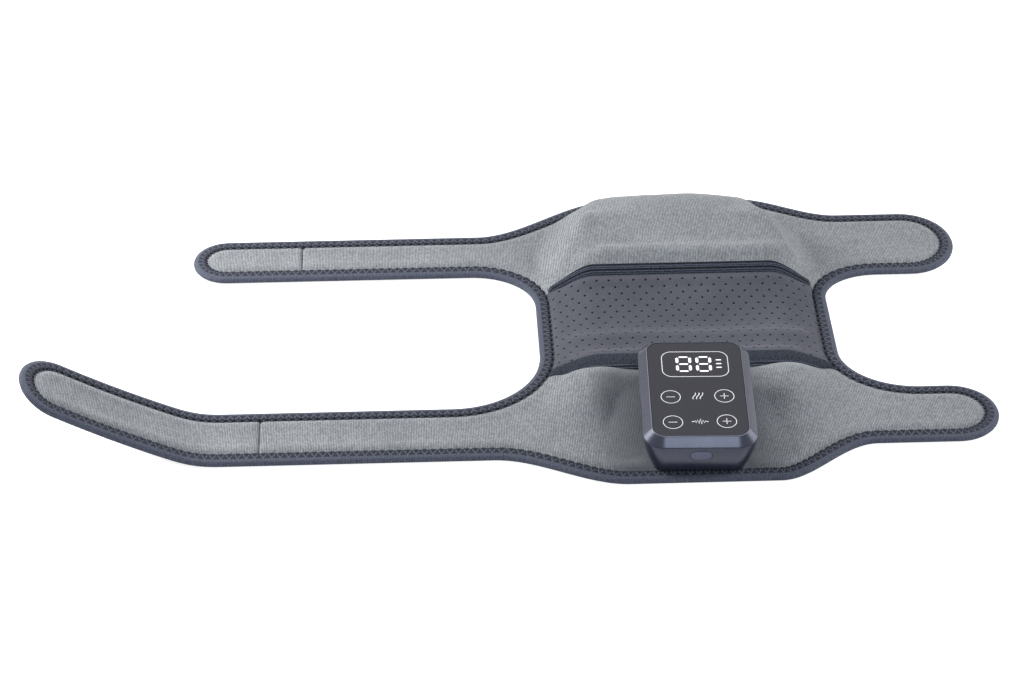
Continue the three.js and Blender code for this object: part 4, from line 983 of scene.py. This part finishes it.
def make_straps():
    """Loop cloth of the straps, in two panels each, and of the tabs."""
    straps, tabs = straps_and_tabs()
    for wing, name, strap, place in straps:
        seam = strap["seam"]
        for part, places, bodies, under in (
                ("", -evenly(-LEFT_SPLIT, seam, CLOTH_STEP), ["cover", name], "soft_lining"),
                ("_end", to_tip(-1, seam + GAP, strap), [name], "hooks")):
            layer(wing, -1, f"{name}{part}_cloth", places, 44, partial(strap_levels, seam=seam),
                  (loop_cloth(), "loop_cloth"), bodies, f"{name}{part}_panel", [f"{name}_{under}"], place)
    for wing, name, tab in tabs:
        layer(wing, 1, f"{name}_cloth", to_tip(1, RIGHT_SPLIT, tab), 44, cloth_levels,
              (loop_cloth(), "loop_cloth"), ["cover", name], f"{name}_panel", [f"{name}_soft_lining"])


def make_linings():
    """Soft linings of the wings, straps, tabs and knee, and the hook patches past the straps' seams."""
    straps, tabs = straps_and_tabs()
    soft, hooks = (lining_cloth(), "lining_cloth"), (hook_cloth(), "hook_cloth")

    def line(wing, side, name, places, bodies, place=None):
        layer(wing, side, f"{name}_soft_lining", places, 26, lining_levels, soft, bodies, f"{name}_lining", (), place)

    for wing, name in zip(wings(), ("near_wing", "far_wing")):
        line(wing, 1, name, evenly(LEFT_SPLIT, RIGHT_SPLIT, LINING_STEP), ["cover"])
    for wing, name, strap, place in straps:
        end = strap["seam"] + HOOK_LEAD
        line(wing, -1, name, -evenly(-LEFT_SPLIT, end, LINING_STEP), ["cover", name], place)
        layer(wing, -1, f"{name}_hooks", to_tip(-1, end + GAP, strap), 26, lining_levels, hooks, [name],
              f"{name}_hook_patch", (), place)
    for wing, name, tab in tabs:
        line(wing, 1, name, to_tip(1, RIGHT_SPLIT, tab), ["cover", name])
    x, y = knee_grid(LINING_STEP, 34)
    piece = shell("knee_soft_lining", x, y, *lining_levels(outline(), x, y), soft[0])
    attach(piece, "cover")
    stand_for(piece, "lining_cloth", "knee_lining")


def make_knee():
    """Perforated cloth between the two seams."""
    x, y = knee_grid(KNEE_STEP, 84)
    piece = shell("knee_cloth", x, y, *knee_levels(outline(), x, y), knee_cloth())
    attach(piece, "cover")
    stand_for(piece, "mesh_cloth", "knee_panel")


def make_seam_tapes():
    edge = outline()
    seam_tape(edge, "near", NEAR_SEAM, -1, NEAR_TAPE, 0.0, 1)
    seam_tape(edge, "far", FAR_SEAM, 1, FAR_TAPE, 0.25, 2)


def deselect_all():
    if bpy.context.mode != "OBJECT":
        bpy.ops.object.mode_set(mode="OBJECT")
    bpy.ops.object.select_all(action="DESELECT")


def only(piece):
    deselect_all()
    piece.select_set(True)
    bpy.context.view_layer.objects.active = piece


def edit_all():
    bpy.ops.object.mode_set(mode="EDIT")
    bpy.ops.mesh.select_all(action="SELECT")


def wear(mesh, *materials):
    mesh.materials.clear()
    for material in materials:
        mesh.materials.append(material)


def rounded_plate(name, width, front, back, corner, height, segments=14):
    """A flat face with rounded corners, left in edit mode with its face selected. In millimetres."""
    deselect_all()
    bpy.ops.mesh.primitive_plane_add(size=1, location=(0, (front + back) / 2 * MM, height * MM))
    piece = bpy.context.object
    piece.name = piece.data.name = name
    piece.scale = (width * MM, (back - front) * MM, 1)
    bpy.ops.object.transform_apply()
    edit_all()
    bpy.ops.mesh.bevel(offset=corner * MM, segments=segments, affect="VERTICES")
    bpy.ops.mesh.select_mode(type="FACE")
    bpy.ops.mesh.select_all(action="SELECT")
    return piece


def draw_in(*steps):
    """Insets the selected face and moves it along its normal, step by step, in millimetres."""
    for thickness, depth in steps:
        bpy.ops.mesh.inset(thickness=thickness * MM, depth=depth * MM)


def push(depth):
    """Extrudes the selected face straight up by a depth in millimetres."""
    bpy.ops.mesh.extrude_region_move(TRANSFORM_OT_translate={"value": (0, 0, depth * MM)})


def thicken(piece, thickness, offset, **settings):
    """Gives the faces of a piece a thickness in millimetres."""
    apply_modifier(piece, "SOLIDIFY", thickness=thickness * MM, offset=offset, **settings)


def apply_modifier(piece, kind, **settings):
    only(piece)
    modifier = piece.modifiers.new(kind.lower(), kind)
    for name, value in settings.items():
        setattr(modifier, name, value)
    bpy.ops.object.modifier_apply(modifier=modifier.name)


def shade(piece):
    only(piece)
    bpy.ops.object.shade_smooth_by_angle(angle=SMOOTH_ANGLE)


def soften(piece, width, segments=3, angle=35):
    apply_modifier(piece, "BEVEL", width=width * MM, segments=segments, limit_method="ANGLE",
                   angle_limit=math.radians(angle))
    shade(piece)


def put(piece, place):
    only(piece)
    piece.matrix_world = place
    bpy.ops.object.transform_apply()


def settle(piece, place, material, slot, body, *nodes):
    """Sets a finished piece into its place, with its finish, its body and the solids it stands for."""
    apply_modifier(piece, "WEIGHTED_NORMAL", weight=60, keep_sharp=True)
    put(piece, place)
    if material is not None:
        wear(piece.data, material)
    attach(piece, body)
    if nodes:
        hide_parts(*nodes)


def taper(height):
    """How far the case's side lies inside its widest edge, at a height above its base."""
    return CASE["inset"] * ((CASE["edge"] - height) / CASE["edge"]) ** CASE["taper"]


def key_pose():
    """Where the key's own frame stands in the controller's: outwards is up in the key's frame."""
    lean = math.atan(CASE["taper"] * taper(KEY["place"]) / (CASE["edge"] - KEY["place"]))
    return (Matrix.Translation((0, taper(KEY["place"]) * MM, KEY["place"] * MM))
            @ Matrix.Rotation(lean, 4, "X") @ Matrix.Rotation(math.pi / 2, 4, "X"))


def cut_hole(piece, width, height, place, low, high):
    """Cuts a hole with round ends through a wall."""
    tool = rounded_plate("hole_tool", width, -height / 2, height / 2, 0.49 * height, low)
    thicken(tool, high - low, 1.0)
    put(tool, place)
    apply_modifier(piece, "BOOLEAN", operation="DIFFERENCE", solver="EXACT", object=tool)
    bpy.data.objects.remove(tool, do_unlink=True)


def make_case_shell(paint):
    """Lower body: a cup that narrows to its base, with holes for the key and the charging socket."""
    length = CASE["length"]
    piece = rounded_plate("case_shell", CASE["width"], 0, length, CASE["corner"], CASE["edge"])
    bpy.ops.mesh.flip_normals()
    steps = zip(CASE_LEVELS, CASE_LEVELS[1:])
    draw_in(*[(taper(below) - taper(above), above - below) for above, below in steps])
    thicken(piece, CASE["wall"], -1.0, use_even_offset=True)
    soften(piece, 0.35)
    cut_hole(piece, KEY["width"] + 2 * GAP, KEY["height"] + 2 * GAP, key_pose(), -4.5, 2.0)
    socket = Matrix.Translation((0, length * MM, SOCKET["place"] * MM)) @ Matrix.Rotation(-math.pi / 2, 4, "X")
    cut_hole(piece, SOCKET["width"], SOCKET["height"], socket, -9, 2)
    shade(piece)
    settle(piece, CONTROLLER, paint, "case_shell", "cover", "bottom_case")


def make_top_frame(paint, rim):
    """Upper frame: broad chamfer, a turned rim whose paler paint is in part a painted highlight, and the recess that
    holds the face.
    """
    piece = rounded_plate("top_frame", CASE["width"], 0, CASE["length"], CASE["corner"], CASE["edge"] + GAP)
    draw_in(*FRAME_STEPS)
    push(-CASE["face_depth"] - 0.14)
    draw_in((2.4, 0.0))
    push(-1.2)
    bpy.ops.mesh.delete(type="FACE")
    thicken(piece, 1.1, -1.0, use_even_offset=True)
    soften(piece, 0.12, 2, 50)
    # Painted highlight: the rim's faces take a paler paint than the case.
    wear(piece.data, paint, rim)
    top = (CASE_TOP + 0.02) * MM
    for face in piece.data.polygons:
        face.material_index = int(face.center.z > top)
    settle(piece, CONTROLLER, None, "case_shell", "cover", "top_case")


def make_face_panel():
    recess = CASE["chamfer"] + CASE["rim"] + GAP
    piece = rounded_plate("face_panel", CASE["width"] - 2 * recess, recess, CASE["length"] - recess,
                          CASE["corner"] - recess, CASE_TOP)
    thicken(piece, CASE["face_depth"] - GAP, -1.0)
    soften(piece, 0.18)
    settle(piece, CONTROLLER, face_glass(), "face", "cover", "touch_panel")


def ribbon(points, width):
    """A flat stroke along points in millimetres, from a grid whose columns follow them."""
    deselect_all()
    bpy.ops.mesh.primitive_grid_add(x_subdivisions=len(points) - 1, y_subdivisions=1, size=2)
    piece = bpy.context.object
    line = np.array(points, float)
    ahead = np.gradient(line, axis=0)
    ahead /= np.linalg.norm(ahead, axis=1)[:, None]
    across = np.column_stack([-ahead[:, 1], ahead[:, 0]])
    for corner in piece.data.vertices:
        column = round((corner.co.x + 1) / 2 * (len(points) - 1))
        place = line[column] + across[column] * width / 2 * math.copysign(1, corner.co.y)
        corner.co = (place[0] * MM, place[1] * MM, CASE_TOP * MM)
    return piece


def bar(centre, length, width, upright=False):
    """A stroke with pointed ends, as in a lit digit."""
    half = (length - width) / 2
    deselect_all()
    bpy.ops.mesh.primitive_circle_add(vertices=6, radius=1, fill_type="NGON")
    piece = bpy.context.object
    for corner in piece.data.vertices:
        up, side = corner.co.y, corner.co.x
        along = math.copysign(half + width / 2 * (abs(up) > 0.75), up)
        across = math.copysign(width / 2, side) * (abs(side) > 0.1)
        x, y = (-across, along) if upright else (along, across)
        corner.co = ((centre[0] + x) * MM, (centre[1] + y) * MM, CASE_TOP * MM)
    return piece


def ring(centre, radius, width):
    """A printed ring round a touch key."""
    deselect_all()
    bpy.ops.mesh.primitive_circle_add(vertices=64, radius=(radius + width / 2) * MM, fill_type="NGON",
                                      location=(centre[0] * MM, centre[1] * MM, CASE_TOP * MM))
    piece = bpy.context.object
    bpy.ops.object.transform_apply()
    edit_all()
    return frame_only(piece, width)


def frame_only(piece, width):
    """Leaves a line of one width along the edge of the selected face."""
    draw_in((width, 0.0))
    bpy.ops.mesh.delete(type="FACE")
    bpy.ops.object.mode_set(mode="OBJECT")
    return piece


def display_line():
    """The printed line round the display."""
    (_, y), width, height = DISPLAY["centre"], DISPLAY["width"], DISPLAY["height"]
    piece = rounded_plate("display_line", width, y - height / 2, y + height / 2, 0.26 * height, CASE_TOP)
    return frame_only(piece, MARK_LINE)


def join(name, pieces):
    """One object from flat marks, given a slight thickness."""
    only(pieces[0])
    for piece in pieces[1:]:
        piece.select_set(True)
    bpy.ops.object.join()
    whole = bpy.context.object
    whole.name = whole.data.name = name
    edit_all()
    bpy.ops.mesh.normals_make_consistent(inside=False)
    bpy.ops.object.mode_set(mode="OBJECT")
    for face in whole.data.polygons:
        if face.normal.z < 0:
            face.flip()
    thicken(whole, sizes().mark_height / MM, 1.0)
    return whole


def make_marks():
    """Printed marks of the touch keys, with a faint painted glow, and the lit figures and bars of the display."""
    white = tone_of("mark")
    marks = [display_line()]
    for x, y, plus in TOUCH_KEYS:
        marks += [ring((x, y), *KEY_RING), bar((x, y), SIGN, MARK_LINE)]
        if plus:
            marks += [bar((x, y + side * 1.45), 2.3, MARK_LINE, upright=True) for side in (-1, 1)]
    for x in HEAT_WAVES:
        rising = [(x - 0.6 - 0.42 * math.sin(t * 6.28) + 1.5 * t, 37.5 + 5.6 * t) for t in np.linspace(0, 1, 15)]
        marks.append(ribbon(rising, 0.5))
    marks.append(ribbon([(0.9 * x, 17.6 + 0.85 * y) for x, y in BEATS], 0.58))
    # Painted glow: the printed marks are given a faint emission though they are no lamp.
    settle(join("face_marks", marks), CONTROLLER,
           speckled("printed_mark", darker(white, 0.86), white, 3000.0, 1.0, 0.5, glow=0.12), "face", "cover")

    lit = []
    low, high, thin, thick = (DIGITS[name] for name in ("low", "high", "thin", "thick"))
    half_way = (low + high) / 2
    for left, right in DIGITS["sides"]:
        lit += [bar(((left + right) / 2, y), 5.6, thin) for y in (low + thin / 2, half_way, high - thin / 2)]
        lit += [bar((x, y), 5.0, thick, upright=True) for x in (left + thick / 2, right - thick / 2)
                for y in ((low + half_way) / 2, (half_way + high) / 2)]
    lit += [bar((13.9, y), 3.5, 0.85) for y in (65.9, 69.3, 72.7)]
    settle(join("display_figures", lit), CONTROLLER,
           speckled("lit_mark", darker(white, 0.95), white, 900.0, 1.0, 0.4, glow=0.7), "display", "cover")


def make_power_key(paint):
    """Key with a softly domed face, a guide flange behind the wall and a stem."""
    width, height, wall = KEY["width"], KEY["height"], CASE["wall"] + 2 * GAP
    piece = rounded_plate("power_key", width + 2, -height / 2 - 1, height / 2 + 1, 0.46 * height + 1, -wall - 0.9, 10)
    bpy.ops.mesh.duplicate()
    bpy.ops.mesh.flip_normals()
    draw_in((3.4, 0.0))
    push(-1.2)
    bpy.ops.mesh.select_all(action="DESELECT")
    mesh = bmesh.from_edit_mesh(piece.data)
    mesh.faces.ensure_lookup_table()
    upper = [face for face in mesh.faces if face.normal.z > 0.9 and face.calc_area() > 0.8 * width * height * MM * MM]
    upper[0].select_set(True)
    bmesh.update_edit_mesh(piece.data)
    push(0.9)
    draw_in((1.0, 0.0))
    push(wall - 0.06)
    draw_in(*KEY_STEPS)
    bpy.ops.mesh.select_all(action="SELECT")
    bpy.ops.mesh.remove_doubles(threshold=0.00001)
    bpy.ops.mesh.normals_make_consistent(inside=False)
    shade(piece)
    settle(piece, CONTROLLER @ key_pose(), paint, "key", "power_key", "power_button")


def make_controller():
    """The case, its turned rim painted paler in part as a highlight, the face with its marks, and the key in a lighter,
    duller paint than the case.
    """
    paint, tone = case_paint(), tone_of("case")
    make_case_shell(paint)
    # The rim's paler paint is in part a painted highlight.
    make_top_frame(paint, speckled("rim_paint", (0.12, 0.125, 0.16), (0.18, 0.185, 0.22), 1200.0, 2.0, 0.4, 0.1, 0.4))
    make_face_panel()
    make_marks()
    make_power_key(speckled("key_paint", darker(tone, 1.9), darker(tone, 2.3), 3000.0, 2.0, 0.45, 0.1, 0.2))


INNER_FINISHES = {
    "heating_film": (("near_heating_film", "far_heating_film"), (0.50, 0.26, 0.06), 0.35, 0.0, 500.0),
    "sensor": (("near_temperature_sensor", "far_temperature_sensor"), (0.02, 0.02, 0.022), 0.4, 0.0, 900.0),
    "cable": (("far_wing_cable", "near_film_lead"), (0.016, 0.017, 0.020), 0.5, 0.0, 700.0),
    "board": (("touch_board", "main_board"), (0.014, 0.15, 0.055), 0.45, 0.0, 500.0),
    "cell": (("battery",), (0.10, 0.16, 0.30), 0.35, 0.0, 400.0),
}
INNER_STEEL = ("_can", "_rotor", "_screw", "charging_socket")


def dress_inner_parts():
    """Finishes for the solids that stay: what lies inside the wings and the controller."""
    finishes = {}
    for name, (nodes, tone, roughness, metallic, scale) in INNER_FINISHES.items():
        finishes.update(dict.fromkeys(nodes, plain_finish(name, tone, roughness, metallic, scale)))
    plastic = plain_finish("moulded_plastic", (0.024, 0.026, 0.030), 0.5)
    steel = plain_finish("turned_steel", (0.46, 0.46, 0.47), 0.3, 1.0, 600.0, 0.15, 12.0)
    for name in NODES:
        piece = bpy.data.objects.get(name)
        if piece is None or piece.type != "MESH":
            continue
        finish = finishes.get(name, steel if any(word in name for word in INNER_STEEL) else plastic)
        wear(piece.data, finish)


def floor_material():
    """Pale paper that lights the piece as paper does, and glows to near white where it is seen."""
    recipe = Recipe("studio_floor")
    color = recipe.tones(recipe.grain(40.0, 3.0), (0.80, 0.80, 0.805), (0.83, 0.83, 0.835))
    diffuse, shown = (recipe.node("ShaderNodeBsdfDiffuse", None, {0: tone})[0] for tone in (color, FLOOR_SHADE))
    glow = recipe.node("ShaderNodeEmission", None, {0: (1, 1, 1), 1: FLOOR_GLOW})[0]
    both = recipe.node("ShaderNodeAddShader", None, {0: shown, 1: glow})[0]
    return recipe.output("ShaderNodeOutputMaterial", recipe.mixed(recipe.seen(), diffuse, both))


def studio_world():
    """White to the camera and in reflections, an even soft light to everything else."""
    recipe = Recipe("studio", bpy.data.worlds)
    light, white = (recipe.node("ShaderNodeBackground", None, {0: tone, 1: strength})[0]
                    for tone, strength in (SKY, ((1, 1, 1), 1.0)))
    bpy.context.scene.world = recipe.output("ShaderNodeOutputWorld", recipe.mixed(recipe.seen(), light, white))


def area_light(name, place, aim, size, power, tone=(1, 1, 1)):
    lamp = bpy.data.lights.new(name, "AREA")
    lamp.shape, lamp.size, lamp.energy, lamp.color = "SQUARE", size, power, tone
    light = bpy.data.objects.new(name, lamp)
    bpy.context.scene.collection.objects.link(light)
    way = Vector(aim) - Vector(place)
    light.matrix_world = Matrix.Translation(place) @ way.to_track_quat("-Z", "Y").to_matrix().to_4x4()


def make_camera():
    """The photo's camera: level from side to side, its focus given in pixels of the photo."""
    lens = bpy.data.cameras.new("photo_camera")
    lens.sensor_width, lens.lens, lens.clip_end = SENSOR, CAMERA["focus"] / CAMERA["photo_width"] * SENSOR, 20
    camera = bpy.data.objects.new("photo_camera", lens)
    bpy.context.scene.collection.objects.link(camera)
    rise, turn = math.radians(CAMERA["rise"]), math.radians(CAMERA["turn"])
    back = Vector((math.sin(turn) * math.cos(rise), -math.cos(turn) * math.cos(rise), math.sin(rise)))
    right = Vector((math.cos(turn), math.sin(turn), 0))
    axes = Matrix((right, back.cross(right), back)).transposed().to_4x4()
    camera.matrix_world = Matrix.Translation(CAMERA["place"]) @ axes
    bpy.context.scene.camera = camera


def make_stage():
    bpy.ops.object.select_all(action="DESELECT")
    bpy.ops.mesh.primitive_plane_add(size=9, location=(0, 0, -0.0003))
    floor = bpy.context.object
    floor.name = "studio_floor"
    bpy.ops.object.transform_apply()
    floor.data.materials.append(floor_material())
    studio_world()
    for light in LIGHTS:
        area_light(*light)
    make_camera()
    bpy.context.scene.view_settings.view_transform = "Standard"


class Step:
    """What the operators share: each one calls its own maker."""

    def execute(self, context):
        self.make()
        return {"FINISHED"}


class WRAP_OT_wings(Step, bpy.types.Operator):
    """Make the padded loop cloth of both wings"""
    bl_idname = "wrap.wings"
    bl_label = "Wing cloth"
    make = staticmethod(make_wings)


class WRAP_OT_knee(Step, bpy.types.Operator):
    """Make the perforated cloth over the knee"""
    bl_idname = "wrap.knee"
    bl_label = "Knee cloth"
    make = staticmethod(make_knee)


class WRAP_OT_straps(Step, bpy.types.Operator):
    """Make the loop cloth of both straps and both tabs"""
    bl_idname = "wrap.straps"
    bl_label = "Strap and tab cloth"
    make = staticmethod(make_straps)


class WRAP_OT_linings(Step, bpy.types.Operator):
    """Make the soft linings and the hook patches on the skin side"""
    bl_idname = "wrap.linings"
    bl_label = "Linings and hook patches"
    make = staticmethod(make_linings)


class WRAP_OT_seam_tapes(Step, bpy.types.Operator):
    """Make the ribbed tapes over the two seams"""
    bl_idname = "wrap.seam_tapes"
    bl_label = "Seam tapes"
    make = staticmethod(make_seam_tapes)


class WRAP_OT_bindings(Step, bpy.types.Operator):
    """Make the folded and stitched tape round every edge"""
    bl_idname = "wrap.bindings"
    bl_label = "Edge bindings"
    make = staticmethod(make_bindings)


class WRAP_OT_controller(Step, bpy.types.Operator):
    """Make the controller's case, frame, face, marks and power key"""
    bl_idname = "wrap.controller"
    bl_label = "Controller"
    make = staticmethod(make_controller)


class WRAP_OT_inner_parts(Step, bpy.types.Operator):
    """Give the parts inside the wings and the controller their finishes"""
    bl_idname = "wrap.inner_parts"
    bl_label = "Inner parts"
    make = staticmethod(dress_inner_parts)


class WRAP_OT_stage(Step, bpy.types.Operator):
    """Make the floor, the lights and the camera"""
    bl_idname = "wrap.stage"
    bl_label = "Studio"
    make = staticmethod(make_stage)


STEPS = (WRAP_OT_stage, WRAP_OT_inner_parts, WRAP_OT_wings, WRAP_OT_knee, WRAP_OT_straps, WRAP_OT_linings,
         WRAP_OT_seam_tapes, WRAP_OT_bindings, WRAP_OT_controller)


class WRAP_PT_sidebar(bpy.types.Panel):
    bl_label = "Knee massager wrap"
    bl_space_type = "VIEW_3D"
    bl_region_type = "UI"
    bl_category = "Wrap"

    def draw(self, context):
        column = self.layout.column(align=True)
        for kind in STEPS:
            column.operator(kind.bl_idname)
        for group in (context.scene.wrap_sizes, context.scene.wrap_colours):
            box = self.layout.box()
            for name in group.__annotations__:
                box.prop(group, name)


CLASSES = (WrapSizes, WrapColours, *STEPS, WRAP_PT_sidebar)


def register():
    for kind in CLASSES:
        bpy.utils.register_class(kind)
    bpy.types.Scene.wrap_sizes = PointerProperty(type=WrapSizes)
    bpy.types.Scene.wrap_colours = PointerProperty(type=WrapColours)


def unregister():
    del bpy.types.Scene.wrap_colours
    del bpy.types.Scene.wrap_sizes
    for kind in reversed(CLASSES):
        bpy.utils.unregister_class(kind)


def main():
    register()
    for kind in STEPS:
        group, name = kind.bl_idname.split(".")
        getattr(getattr(bpy.ops, group), name)()


if __name__ == "__main__":
    main()
